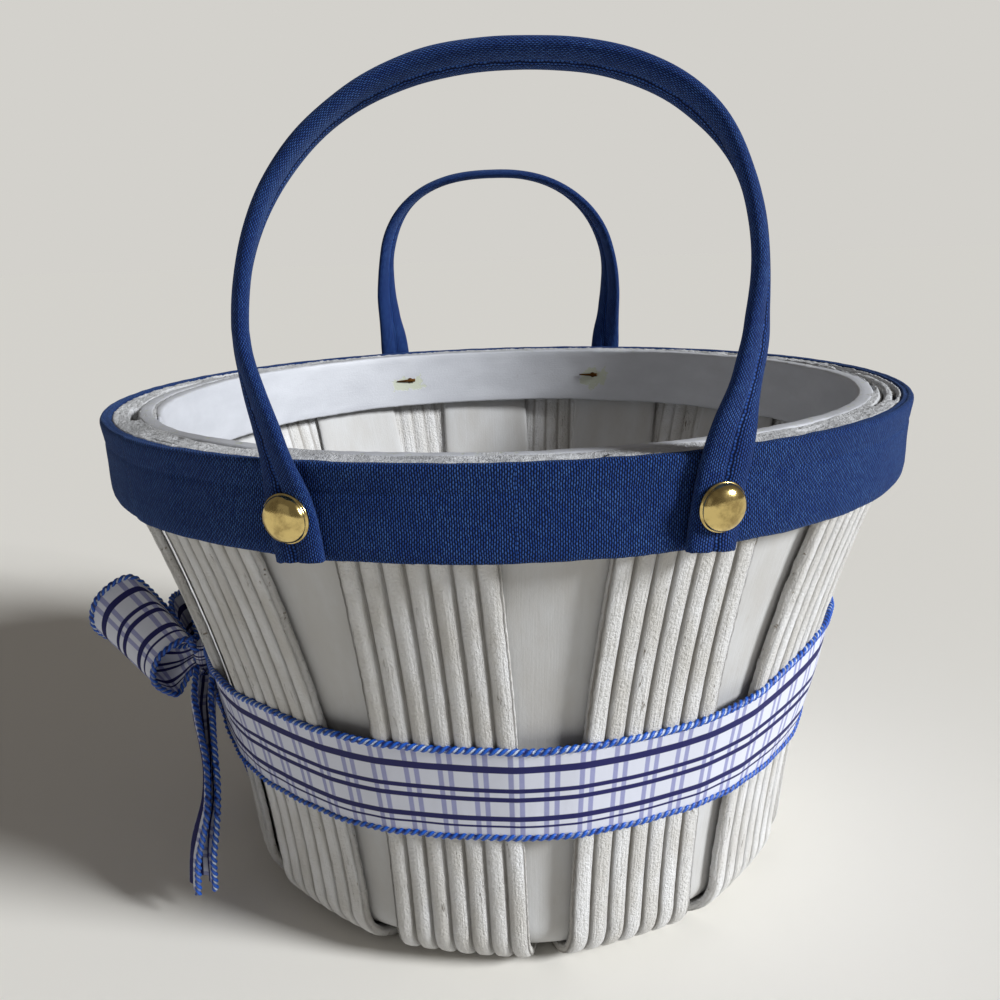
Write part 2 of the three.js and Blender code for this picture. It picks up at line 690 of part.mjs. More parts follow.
/** Adds one handle: its arch, its two nailed ends and their nails. */
function addHandle(name, azimuth, arch) {
  add(`${name}_handle`, handleArch(arch), "canvas", azimuth);
  for (const [side, word] of [[-1, "left"], [1, "right"]]) {
    const foot = azimuth + side * HANDLE_SPREAD;
    add(`${name}_${word}_tab`, strapTab(), "canvas", foot);
    add(`${name}_${word}_nail`, domedNail(), "brass", foot);
  }
}

// Ribbon and bow

/** How far the knot gathers the ribbon at an azimuth, from 0 to 1. */
function knotPull(azimuth) {
  const away = THREE.MathUtils.euclideanModulo(azimuth - KNOT_AZIMUTH + 180, 360) - 180;
  return Math.exp(-((away / KNOT_PULL_ARC) ** 2));
}

/** Height of the ribbon's middle line at an azimuth. */
function ribbonHeight(azimuth) {
  const away = THREE.MathUtils.euclideanModulo(azimuth - RIBBON_HIGH_AZIMUTH + 180, 360) - 180;
  const fall = ease(Math.abs(away), RIBBON_LEVEL_ARC, RIBBON_LEVEL_ARC + RIBBON_FALL_ARC);
  const free = THREE.MathUtils.lerp(RIBBON_BACK_HEIGHT, RIBBON_FRONT_HEIGHT, fall);
  return THREE.MathUtils.lerp(free, KNOT_HEIGHT, knotPull(azimuth));
}

/** The ribbon round the basket, lying on the ribs, with its ends under the knot. */
function ribbonBand() {
  const start = KNOT_AZIMUTH + RIBBON_END_SLIT / 2;
  const rings = [];
  for (let i = 0; i <= RING_STEPS; i += 1) {
    const azimuth = start + ((360 - RIBBON_END_SLIT) * i) / RING_STEPS;
    const half = THREE.MathUtils.lerp(RIBBON_WIDTH, GATHERED_WIDTH, knotPull(azimuth)) / 2;
    const middle = ribbonHeight(azimuth);
    const [low, high] = [middle - half, middle + half];
    const inside = (height) => faceRadius(height) + RIBBON_CLEARANCE;
    rings.push([
      polar(azimuth, inside(low), low),
      polar(azimuth, inside(low) + RIBBON_THICKNESS, low),
      polar(azimuth, inside(high) + RIBBON_THICKNESS, high),
      polar(azimuth, inside(high), high),
    ]);
  }
  return loft(rings);
}

/** Radius of the knot's middle, where its bead just clears the leaning ribbon. */
function knotSeat() {
  const half = KNOT_WIDTH / 2;
  const lean = faceRadius(KNOT_HEIGHT + half) - faceRadius(KNOT_HEIGHT - half);
  const bead = Math.hypot(KNOT_THICKNESS / 2, lean / 2);
  return faceRadius(KNOT_HEIGHT) + RIBBON_CLEARANCE + RIBBON_THICKNESS + CLEARANCE + bead;
}

const knotRadius = knotSeat();
const knotCentre = polar(KNOT_AZIMUTH, knotRadius, KNOT_HEIGHT);

/** Distance from the knot's middle to its surface, [outwards, towards the front, up]. */
function knotReach([outwards, forwards, upwards]) {
  const length = Math.hypot(outwards, forwards, upwards);
  const across = Math.hypot(
    outwards / KNOT_THICKNESS, forwards / KNOT_LENGTH, upwards / KNOT_WIDTH);
  return length / (2 * across);
}

/** A direction given as [outwards, towards the front, up] at the knot. */
function atKnot([outwards, forwards, upwards]) {
  const direction = polar(KNOT_AZIMUTH, outwards, upwards);
  return direction.add(polar(KNOT_AZIMUTH + 90, forwards, 0));
}

/** The knot, a flattened bead of gathered ribbon. */
function knot() {
  const bead = new THREE.SphereGeometry(1, KNOT_STEPS, KNOT_STEPS / 2);
  bead.rotateX(Math.PI / 2);
  bead.scale(KNOT_LENGTH / 2, KNOT_THICKNESS / 2, KNOT_WIDTH / 2);
  bead.translate(0, -knotRadius, KNOT_HEIGHT);
  return tidy(bead);
}

/** A place that lies in a way from the knot's surface, a distance out from it. */
function fromKnot(way, distance) {
  const direction = atKnot(way).normalize();
  return knotCentre.clone().addScaledVector(direction, knotReach(way) + distance);
}

/** One loop of the bow: the ribbon runs out from the knot, turns over and comes back. */
function bowLoop({ leaves, middle, returns, across }) {
  const gap = CLEARANCE + RIBBON_THICKNESS / 2;
  const bend = middle.map((way) => fromKnot(way, gap + Math.hypot(...way)));
  const line = new THREE.CatmullRomCurve3([fromKnot(leaves, gap), ...bend, fromKnot(returns, gap)]);
  const length = line.getLength();
  const width = atKnot(across).normalize();
  const rings = [];
  for (let i = 0; i <= LOOP_STEPS; i += 1) {
    const t = i / LOOP_STEPS;
    const point = line.getPointAt(t);
    const open = ease(Math.min(t, 1 - t) * length, 0, LOOP_FAN);
    const away = atKnot(t < 0.5 ? leaves : returns).normalize();
    const flat = width.clone().addScaledVector(away, -width.dot(away)).normalize();
    const along = flat.lerp(width, open).normalize();
    const through = new THREE.Vector3().crossVectors(line.getTangentAt(t), along).normalize();
    const half = THREE.MathUtils.lerp(GATHERED_WIDTH, RIBBON_WIDTH, open) / 2;
    const corner = (u, v) => point.clone().addScaledVector(along, u * half)
      .addScaledVector(through, (v * RIBBON_THICKNESS) / 2);
    rings.push([corner(-1, -1), corner(1, -1), corner(1, 1), corner(-1, 1)]);
  }
  return loft(rings);
}

/** A place at an arc round from the knot, a distance out from the staves and a height. */
function besideKnot(arc, out, height) {
  return polar(KNOT_AZIMUTH + arc, faceRadius(Math.max(height, FOOT_TURN)) + out, height);
}

/** One tail of the bow, its edges rolled in, from the front (1) or back (-1) of the knot's foot. */
function bowTail(belly, end, side) {
  const forwards = side * (TAIL_NECK_WIDTH / 2 + CLEARANCE);
  const start = knotCentre.clone().add(atKnot([0, forwards, -(KNOT_WIDTH / 2 + CLEARANCE)]));
  const line = new THREE.QuadraticBezierCurve3(start, belly, end);
  const rings = [];
  for (let i = 0; i <= TAIL_STEPS; i += 1) {
    const point = line.getPoint(i / TAIL_STEPS);
    const run = line.getTangent(i / TAIL_STEPS);
    const outwards = new THREE.Vector3(point.x, point.y, 0).normalize();
    const width = new THREE.Vector3().crossVectors(run, outwards).normalize();
    const through = new THREE.Vector3().crossVectors(width, run).normalize();
    const half = THREE.MathUtils.lerp(TAIL_NECK_WIDTH, TAIL_WIDTH, ease(i / TAIL_STEPS, 0, TAIL_NECK)) / 2;
    const corner = (u, v) => point.clone().addScaledVector(width, u * half)
      .addScaledVector(through, (v * TAIL_THICKNESS) / 2);
    rings.push([corner(-1, -1), corner(1, -1), corner(1, 1), corner(-1, 1)]);
  }
  return loft(rings);
}

/** Adds the ribbon with its knot, loops and tails. */
function addRibbon() {
  const frontBelly = besideKnot(FRONT_TAIL_BELLY_ARC, FRONT_TAIL_BELLY_OUT, TAIL_BELLY_HEIGHT);
  const frontEnd = besideKnot(FRONT_TAIL_END_ARC, FRONT_TAIL_END_OUT, TAIL_END_HEIGHT);
  const backBelly = besideKnot(BACK_TAIL_BELLY_ARC, BACK_TAIL_BELLY_OUT, TAIL_BELLY_HEIGHT);
  const backEnd = besideKnot(BACK_TAIL_END_ARC, BACK_TAIL_END_OUT, TAIL_END_HEIGHT);
  add("ribbon_band", ribbonBand(), "ribbon");
  add("bow_knot", knot(), "ribbon", KNOT_AZIMUTH);
  add("front_bow_loop", bowLoop(FRONT_LOOP), "ribbon");
  add("back_bow_loop", bowLoop(BACK_LOOP), "ribbon");
  add("front_bow_tail", bowTail(frontBelly, frontEnd, 1), "ribbon");
  add("back_bow_tail", bowTail(backBelly, backEnd, -1), "ribbon");
}

addBottom();
addStaves();
addRim();
addHandle("front", FRONT_HANDLE_AZIMUTH, {
  width: FRONT_ARCH_WIDTH,
  rise: FRONT_ARCH_RISE,
  skew: FRONT_ARCH_SKEW,
  squareness: FRONT_ARCH_SQUARENESS,
});
addHandle("back", BACK_HANDLE_AZIMUTH, {
  width: BACK_ARCH_WIDTH,
  rise: BACK_ARCH_RISE,
  skew: BACK_ARCH_SKEW,
  squareness: BACK_ARCH_SQUARENESS,
});
addRibbon();

export default basket;
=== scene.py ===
"""Looks of a round splint basket.

Painted ribbed and smooth staves stand in two layers between an inner hoop and an
outer hoop under canvas. Two strap handles are nailed through the rim, and a checked
ribbon with corded edges is tied round the side in a bow.

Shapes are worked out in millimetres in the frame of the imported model: +Z up, the
origin in the middle of the face the basket stands on. An azimuth of 0 is the front,
at -Y, and it grows towards +X. A finished mesh is brought to metres once.
"""

import logging
import math
from bisect import bisect_right
from collections.abc import Callable, Sequence
from dataclasses import dataclass, field, replace
from enum import Enum

import bmesh
import bpy
from mathutils import Matrix, Vector, noise


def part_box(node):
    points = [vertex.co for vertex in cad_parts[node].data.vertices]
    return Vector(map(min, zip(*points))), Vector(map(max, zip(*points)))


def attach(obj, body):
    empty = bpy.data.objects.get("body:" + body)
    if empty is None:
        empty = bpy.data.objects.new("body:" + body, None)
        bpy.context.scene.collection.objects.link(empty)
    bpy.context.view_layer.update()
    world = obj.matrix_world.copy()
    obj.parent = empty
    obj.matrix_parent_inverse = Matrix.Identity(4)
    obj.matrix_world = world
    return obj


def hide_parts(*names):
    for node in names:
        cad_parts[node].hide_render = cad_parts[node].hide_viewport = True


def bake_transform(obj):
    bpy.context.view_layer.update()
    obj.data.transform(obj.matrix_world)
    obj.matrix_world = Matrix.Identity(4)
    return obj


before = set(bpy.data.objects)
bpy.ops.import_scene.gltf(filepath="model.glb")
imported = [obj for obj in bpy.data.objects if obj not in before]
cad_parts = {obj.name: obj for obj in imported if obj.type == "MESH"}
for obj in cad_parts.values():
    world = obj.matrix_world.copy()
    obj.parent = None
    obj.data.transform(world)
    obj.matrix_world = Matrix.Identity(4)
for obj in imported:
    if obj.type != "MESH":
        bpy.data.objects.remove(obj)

logging.basicConfig(level=logging.INFO, format="%(message)s")
LOG = logging.getLogger("basket")

MM = 0.001
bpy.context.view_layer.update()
RIM_BODY = "basket"
STAVE_PAIRS = 12
STAVE_PITCH = 360 / STAVE_PAIRS
UP = Vector((0.0, 0.0, 1.0))
SAME_PLACE = 1e-5
SAME_END = 1e-4

Triple = tuple[float, float, float]
Colour = Triple
Socket = bpy.types.NodeSocket
Mesh = bmesh.types.BMesh


def linear(value: int) -> float:
    """One part of a colour, written as 0 to 255, as the linear value that a shader takes."""
    share = value / 255
    return share / 12.92 if share <= 0.04045 else ((share + 0.055) / 1.055) ** 2.4


def srgb(red: int, green: int, blue: int) -> Colour:
    """A colour written as 0 to 255 as the linear values that a shader takes."""
    return linear(red), linear(green), linear(blue)


def lerp(start: float, end: float, share: float) -> float:
    """The value at a share of the way from start to end."""
    return start + (end - start) * share


def ease(value: float, low: float, high: float) -> float:
    """Goes smoothly from 0 to 1 as value goes from low to high."""
    share = min(max((value - low) / (high - low), 0.0), 1.0)
    return share * share * (3 - 2 * share)


def turn_between(azimuth: float, other: float) -> float:
    """Degrees from other to azimuth, from -180 to 180."""
    return (azimuth - other + 180) % 360 - 180


def near(azimuth: float, middle: float, arc: float) -> float:
    """1 at a middle azimuth, falling smoothly to nearly 0 at two arcs from it."""
    return math.exp(-((turn_between(azimuth, middle) / arc) ** 2))


def polar(azimuth: float, radius: float, height: float) -> Vector:
    """The point at an azimuth in degrees, a radius and a height."""
    angle = math.radians(azimuth)
    return Vector((radius * math.sin(angle), -radius * math.cos(angle), height))


def ripple(point: Vector, size: float, seed: float = 0.0) -> float:
    """Smooth noise from -1 to 1 with lumps about size across."""
    return noise.noise(point / size + Vector((seed, 1.7 * seed, 0.6 * seed)))


class Path:
    """A line through points, measured along its length."""

    def __init__(self, points: Sequence[Vector]) -> None:
        """Keeps the points and how far along the line each of them is.

        Args:
            points: The points of the line, in their order.
        """
        self.points = [Vector(point) for point in points]
        self.distances = [0.0]
        for before, after in zip(self.points, self.points[1:]):
            self.distances.append(self.distances[-1] + (after - before).length)

    @property
    def length(self) -> float:
        """Length of the whole line."""
        return self.distances[-1]

    @property
    def middle(self) -> Vector:
        """The mean of the points."""
        return sum(self.points, Vector()) / len(self.points)

    def at(self, share: float) -> Vector:
        """The point at a share of the line's length.

        Args:
            share: From 0 at the start to 1 at the end.

        Returns:
            The point.
        """
        distance = min(max(share, 0.0), 1.0) * self.length
        i = min(bisect_right(self.distances, distance), len(self.points) - 1)
        span = self.distances[i] - self.distances[i - 1]
        along = (distance - self.distances[i - 1]) / span if span else 0.0
        return self.points[i - 1].lerp(self.points[i], along)

    def run(self, share: float) -> Vector:
        """The direction of the line at a share of its length."""
        step = 0.5 / len(self.points)
        return (self.at(share + step) - self.at(share - step)).normalized()

    def stations(self, count: int) -> list[tuple[Vector, Vector, Vector]]:
        """Evenly spaced points with two directions square to the line that turn as little as they can.

        Args:
            count: How many spaces there are between the first point and the last.

        Returns:
            One (point, side, up) for each point.
        """
        found = []
        side = self.run(0.0).orthogonal().normalized()
        for i in range(count + 1):
            run = self.run(i / count)
            side = (side - run * side.dot(run)).normalized()
            found.append((self.at(i / count), side, run.cross(side)))
        return found


def smooth_line(points: Sequence[Vector], steps: int = 16) -> Path:
    """A smooth line through a few points.

    Args:
        points: The points it passes.
        steps: Pieces of line between two of them.

    Returns:
        The line.
    """
    ends = [points[0] * 2 - points[1], *points, points[-1] * 2 - points[-2]]
    found = []
    for before, start, end, after in zip(ends, ends[1:], ends[2:], ends[3:]):
        pairs = ((before, start), (start, end), (end, after))
        first, span, last = (math.sqrt((other - one).length) for one, other in pairs)
        leaving = ((start - before) / first - (end - before) / (first + span) + (end - start) / span) * span
        arriving = ((end - start) / span - (after - start) / (span + last) + (after - end) / last) * span
        for i in range(steps):
            t = i / steps
            hold = 2 * t**3 - 3 * t * t
            point = start * (hold + 1) - end * hold
            found.append(point + leaving * (t**3 - 2 * t * t + t) + arriving * (t**3 - t * t))
    return Path([*found, points[-1]])


def wrapped_grid(
    columns: int,
    rows: int,
    place: Callable[[int, int], Vector],
    flat: tuple[float, float],
    closed: bool = False,
    marks: dict[str, Callable[[int, int], float]] | None = None,
) -> Mesh:
    """Lays a grid of quads over a shape.

    Args:
        columns: Quads across.
        rows: Quads along.
        place: Gives the point of a column and a row, both counted from 0.
        flat: Width and length of the flat piece, which its UV map keeps in millimetres.
        closed: True if the last column meets the first.
        marks: Named values to keep on the vertices for the finishes to read.

    Returns:
        The mesh, in millimetres.
    """
    mesh = bmesh.new()
    bmesh.ops.create_grid(mesh, x_segments=columns, y_segments=rows, size=0.5)
    uv = mesh.loops.layers.uv.new("UVMap")
    layers = {name: mesh.verts.layers.float.new(name) for name in marks or {}}
    spots = {
        vertex: (round((vertex.co.x + 0.5) * columns), round((vertex.co.y + 0.5) * rows))
        for vertex in mesh.verts
    }
    for face in mesh.faces:
        for loop in face.loops:
            i, j = spots[loop.vert]
            loop[uv].uv = (i / columns * flat[0], j / rows * flat[1])
    for vertex, (i, j) in spots.items():
        vertex.co = place(i, j)
        for name, layer in layers.items():
            vertex[layer] = marks[name](i, j)
    if closed:
        bmesh.ops.remove_doubles(mesh, verts=mesh.verts, dist=SAME_PLACE)
        ends = [edge for edge in mesh.edges if edge.is_boundary]
        bmesh.ops.holes_fill(mesh, edges=ends)
        bmesh.ops.recalc_face_normals(mesh, faces=mesh.faces)
    return mesh


def join_ends(mesh: Mesh) -> Mesh:
    """Joins the first and the last row of a band that runs once round.

    Args:
        mesh: The band.

    Returns:
        The same mesh.
    """
    bmesh.ops.remove_doubles(mesh, verts=[v for v in mesh.verts if v.is_boundary], dist=SAME_END)
    bmesh.ops.recalc_face_normals(mesh, faces=mesh.faces)
    return mesh


def shift_pattern(mesh: Mesh, distance: float) -> None:
    """Moves the flat piece along its pattern.

    Args:
        mesh: The mesh, whose UV map changes.
        distance: How far, in millimetres.
    """
    uv = mesh.loops.layers.uv.active
    for face in mesh.faces:
        for loop in face.loops:
            loop[uv].uv.y += distance


def spun(outline: Sequence[tuple[float, float]], steps: int) -> Mesh:
    """Turns an outline once round +Z and closes it.

    Args:
        outline: Its (radius, height) points.
        steps: Quads round the axis.

    Returns:
        The mesh, in millimetres.
    """
    mesh = bmesh.new()
    points = [mesh.verts.new((radius, 0.0, height)) for radius, height in outline]
    edges = [mesh.edges.new(pair) for pair in zip(points, points[1:])]
    bmesh.ops.spin(
        mesh, geom=points + edges, cent=(0, 0, 0), axis=(0, 0, 1),
        angle=math.tau, steps=steps, use_merge=True, use_duplicate=False)
    bmesh.ops.remove_doubles(mesh, verts=mesh.verts, dist=SAME_PLACE)
    bmesh.ops.recalc_face_normals(mesh, faces=mesh.faces)
    return mesh


def finish_mesh(name: str, mesh: Mesh, material: bpy.types.Material) -> bpy.types.Object:
    """Brings a mesh from millimetres to metres and makes it an object at the origin.

    Args:
        name: The piece's name.
        mesh: Its shape, which is freed.
        material: Its finish.

    Returns:
        The new object, smooth shaded.
    """
    bmesh.ops.scale(mesh, vec=(MM, MM, MM), verts=mesh.verts)
    data = bpy.data.meshes.new(name)
    mesh.to_mesh(data)
    mesh.free()
    data.shade_smooth()
    data.materials.append(material)
    piece = bpy.data.objects.new(name, data)
    bpy.context.scene.collection.objects.link(piece)
    return piece


def give_thickness(piece: bpy.types.Object, thickness: float, offset: float = 0.0) -> None:
    """Gives a sheet its thickness.

    Args:
        piece: The sheet.
        thickness: Its thickness in millimetres.
        offset: -1 for all of it inwards, 0 for both ways and 1 for outwards.
    """
    solid = piece.modifiers.new("thickness", "SOLIDIFY")
    solid.thickness = thickness * MM
    solid.offset = offset
    solid.use_even_offset = False


def hand_over(
    piece: bpy.types.Object, nodes: Sequence[str] = (), body: str | None = RIM_BODY
) -> bpy.types.Object:
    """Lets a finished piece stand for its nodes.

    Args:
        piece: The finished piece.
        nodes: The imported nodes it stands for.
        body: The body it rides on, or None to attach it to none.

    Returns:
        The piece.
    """
    if nodes:
        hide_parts(*nodes)
    if body:
        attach(piece, body)
    stands_for = ", ".join(nodes) or "the looks alone"
    LOG.info("%s: %d faces, for %s", piece.name, len(piece.data.polygons), stands_for)
    return piece


class Graph:
    """Short ways to add and join the nodes of one shader tree."""

    def __init__(self, tree: bpy.types.NodeTree) -> None:
        """Keeps the tree."""
        self.tree = tree

    def feed(self, socket: Socket, value: object) -> None:
        """Links a socket to an input, or sets the input to a plain value.

        Args:
            socket: The input.
            value: A socket that gives the value, or the value itself.
        """
        if isinstance(value, bpy.types.NodeSocket):
            self.tree.links.new(value, socket)
        else:
            socket.default_value = value

    def fill(self, node: bpy.types.Node, inputs: dict[str | int, object]) -> None:
        """Feeds several inputs of a node."""
        for name, value in inputs.items():
            self.feed(node.inputs[name], value)

    def add(
        self, kind: str, inputs: dict[str | int, object] | None = None, **settings: object
    ) -> bpy.types.Node:
        """Adds a node.

        Args:
            kind: The node's type.
            inputs: What feeds its inputs.
            settings: The node's own settings.

        Returns:
            The node.
        """
        node = self.tree.nodes.new(kind)
        for name, value in settings.items():
            setattr(node, name, value)
        self.fill(node, inputs or {})
        return node

    def math(self, operation: str, first: object, second: object = 0.0, third: object = 0.0) -> Socket:
        """The result of a Math node."""
        return self.add("ShaderNodeMath", {0: first, 1: second, 2: third}, operation=operation).outputs[0]

    def times(self, first: object, second: object) -> Socket:
        """The product of two values."""
        return self.math("MULTIPLY", first, second)

    def mix(self, share: object, first: object, second: object) -> Socket:
        """Two colours mixed."""
        low, high = ((*colour, 1.0) if isinstance(colour, tuple) else colour for colour in (first, second))
        return self.add("ShaderNodeMix", {0: share, 6: low, 7: high}, data_type="RGBA").outputs[2]

    def step(self, value: object, low: float, high: float) -> Socket:
        """Goes smoothly from 0 to 1 as value goes from low to high."""
        inputs = {"Value": value, "From Min": low, "From Max": high}
        return self.add("ShaderNodeMapRange", inputs, interpolation_type="SMOOTHSTEP").outputs["Result"]

    def noise(self, vector: object, scale: object, detail: float = 3.0, roughness: float = 0.5) -> Socket:
        """A noise value from 0 to 1."""
        inputs = {"Vector": vector, "Scale": scale, "Detail": detail, "Roughness": roughness}
        return self.add("ShaderNodeTexNoise", inputs).outputs["Fac"]

    def grain(self, vector: object, scale: Triple, detail: float = 3.0, roughness: float = 0.5) -> Socket:
        """A noise value from 0 to 1 with a scale for each direction."""
        return self.noise(self.stretch(vector, scale), 1.0, detail, roughness)

    def stretch(self, vector: object, scale: Triple) -> Socket:
        """A vector with each part multiplied."""
        return self.add("ShaderNodeVectorMath", {0: vector, 1: scale}, operation="MULTIPLY").outputs[0]

    def shift(self, vector: object, move: object) -> Socket:
        """The sum of two vectors."""
        return self.add("ShaderNodeVectorMath", {0: vector, 1: move}, operation="ADD").outputs[0]

    def group(self, tree: bpy.types.NodeTree, inputs: dict[str | int, object]) -> Sequence[Socket]:
        """The outputs of a node group."""
        return self.add("ShaderNodeGroup", inputs, node_tree=tree).outputs

    def parts(self, vector: object) -> Sequence[Socket]:
        """The three parts of a vector."""
        return self.add("ShaderNodeSeparateXYZ", {0: vector}).outputs

    def attribute(self, name: str) -> Socket:
        """A value that the mesh keeps on its vertices."""
        return self.add("ShaderNodeAttribute", attribute_name=name).outputs["Fac"]

    def flat_place(self) -> Socket:
        """The place on the flat piece in millimetres, from its UV map."""
        return self.add("ShaderNodeUVMap", uv_map="UVMap").outputs["UV"]

    def object_place(self) -> Socket:
        """The place on the object in millimetres."""
        place = self.add("ShaderNodeTexCoord").outputs["Object"]
        return self.stretch(place, (1 / MM, 1 / MM, 1 / MM))

    def bump(self, height: object, strength: float, distance: float) -> Socket:
        """A normal bent by a height, with its distance in millimetres."""
        inputs = {"Height": height, "Strength": strength, "Distance": distance * MM}
        return self.add("ShaderNodeBump", inputs).outputs["Normal"]


def new_group(
    name: str,
    inputs: dict[str, str],
    outputs: dict[str, str],
    build: Callable[[Graph, dict[str, Socket]], dict[str, Socket]],
) -> bpy.types.NodeTree:
    """Makes a shader node group once.

    Args:
        name: The group's name.
        inputs: Its input sockets and their types.
        outputs: Its output sockets and their types.
        build: Fills the group: takes its graph and inputs and returns what feeds each output.

    Returns:
        The group's tree.
    """
    tree = bpy.data.node_groups.new(name, "ShaderNodeTree")
    for direction, sockets in (("INPUT", inputs), ("OUTPUT", outputs)):
        for socket, kind in sockets.items():
            tree.interface.new_socket(socket, in_out=direction, socket_type=kind)
    graph = Graph(tree)
    entry = graph.add("NodeGroupInput")
    way_out = graph.add("NodeGroupOutput")
    graph.fill(way_out, build(graph, {socket: entry.outputs[socket] for socket in inputs}))
    return tree


FLOAT = "NodeSocketFloat"
VECTOR = "NodeSocketVector"
CELL_HALF_WIDTH = 0.38
CELL_HALF_LENGTH = 0.52
CELL_RIM = 1.15
CELL_CROWN = 0.25
FLAW_DEPTH = 0.35


def build_weave(graph: Graph, given: dict[str, Socket]) -> dict[str, Socket]:
    """Domed cells in columns, each column half a cell along from the next, and uneven in tone.

    Args:
        graph: The group's graph.
        given: The group's inputs.

    Returns:
        What feeds each of its outputs.
    """
    place = given["Place"]
    wander = graph.add("ShaderNodeTexNoise", {"Vector": place, "Scale": 0.3, "Detail": 2.0}).outputs["Color"]
    centred = graph.shift(wander, (-0.5, -0.5, -0.5))
    moved = graph.parts(graph.shift(graph.stretch(centred, (0.8, 0.8, 0.8)), place))
    across = graph.math("DIVIDE", moved[0], given["Column"])
    column = graph.math("FLOOR", across)
    along = graph.math("MULTIPLY_ADD", column, 0.5, graph.math("DIVIDE", moved[1], given["Row"]))
    cell = graph.add("ShaderNodeCombineXYZ", {0: column, 1: graph.math("FLOOR", along)}).outputs[0]
    tone = graph.add("ShaderNodeTexWhiteNoise", {"Vector": cell}).outputs["Value"]
    x, y = (
        graph.math("DIVIDE", graph.math("SUBTRACT", graph.math("FRACT", way), 0.5), half)
        for way, half in ((across, CELL_HALF_WIDTH), (along, CELL_HALF_LENGTH)))
    reach = graph.math("SQRT", graph.math("MULTIPLY_ADD", x, x, graph.times(y, y)))
    return {"Height": graph.step(reach, CELL_RIM, CELL_CROWN), "Tone": tone}


def build_brushwork(graph: Graph, given: dict[str, Socket]) -> dict[str, Socket]:
    """Paint brushed along a stave: streaks, lumps, broad tone, pits and thin cracks.

    Args:
        graph: The group's graph.
        given: The group's inputs.

    Returns:
        What feeds each of its outputs.
    """
    place = given["Place"]
    streaks = graph.grain(place, (2.2, 0.05, 1.0), 4.0, 0.6)
    lumps = graph.grain(place, (1.9, 1.0, 1.9), 4.0, 0.6)
    tone = graph.grain(place, (0.12, 0.03, 1.0), 4.0, 0.6)
    line = graph.math("SUBTRACT", graph.grain(place, (0.5, 0.035, 0.5), 3.0, 0.6), 0.5)
    cracked = graph.step(graph.grain(place, (0.2, 0.05, 0.2), 2.0), 0.6, 0.68)
    crack = graph.times(graph.step(graph.math("ABSOLUTE", line), 0.009, 0.002), cracked)
    pits = graph.step(graph.grain(place, (1.3, 0.9, 1.3), 3.0, 0.6), 0.25, 0.2)
    flaw = graph.math("MAXIMUM", crack, pits)
    height = graph.math("ADD", graph.times(streaks, given["Streaks"]), graph.times(lumps, given["Lumps"]))
    height = graph.math("MULTIPLY_ADD", graph.times(flaw, given["Lumps"]), -FLAW_DEPTH, height)
    return {"Height": height, "Streak": streaks, "Tone": tone, "Flaw": flaw}


def build_chips(graph: Graph, given: dict[str, Socket]) -> dict[str, Socket]:
    """Chips in the paint, more of them where the edge mark is high.

    Args:
        graph: The group's graph.
        given: The group's inputs.

    Returns:
        What feeds each of its outputs.
    """
    spots = graph.grain(given["Place"], (0.8, 0.35, 0.8), 5.0, 0.65)
    raised = graph.math("MULTIPLY_ADD", given["Edge"], given["Wear"], spots)
    return {"Mask": graph.step(raised, 0.74, 0.78)}


WEAVE = new_group(
    "weave", {"Place": VECTOR, "Column": FLOAT, "Row": FLOAT}, {"Height": FLOAT, "Tone": FLOAT}, build_weave)
BRUSHWORK = new_group(
    "brushwork", {"Place": VECTOR, "Streaks": FLOAT, "Lumps": FLOAT},
    {"Height": FLOAT, "Streak": FLOAT, "Tone": FLOAT, "Flaw": FLOAT}, build_brushwork)
CHIPS = new_group("chips", {"Place": VECTOR, "Edge": FLOAT, "Wear": FLOAT}, {"Mask": FLOAT}, build_chips)


def new_material(
    name: str, inputs: dict[str | int, object] | None = None
) -> tuple[bpy.types.Material, Graph, bpy.types.Node]:
    """A material with its graph and its shader.

    Args:
        name: The material's name.
        inputs: What feeds the shader's inputs from the start.

    Returns:
        The material, its graph and its Principled BSDF.
    """
    material = bpy.data.materials.new(name)
    material.use_nodes = True
    graph = Graph(material.node_tree)
    shader = material.node_tree.nodes["Principled BSDF"]
    graph.fill(shader, inputs or {})
    return material, graph, shader


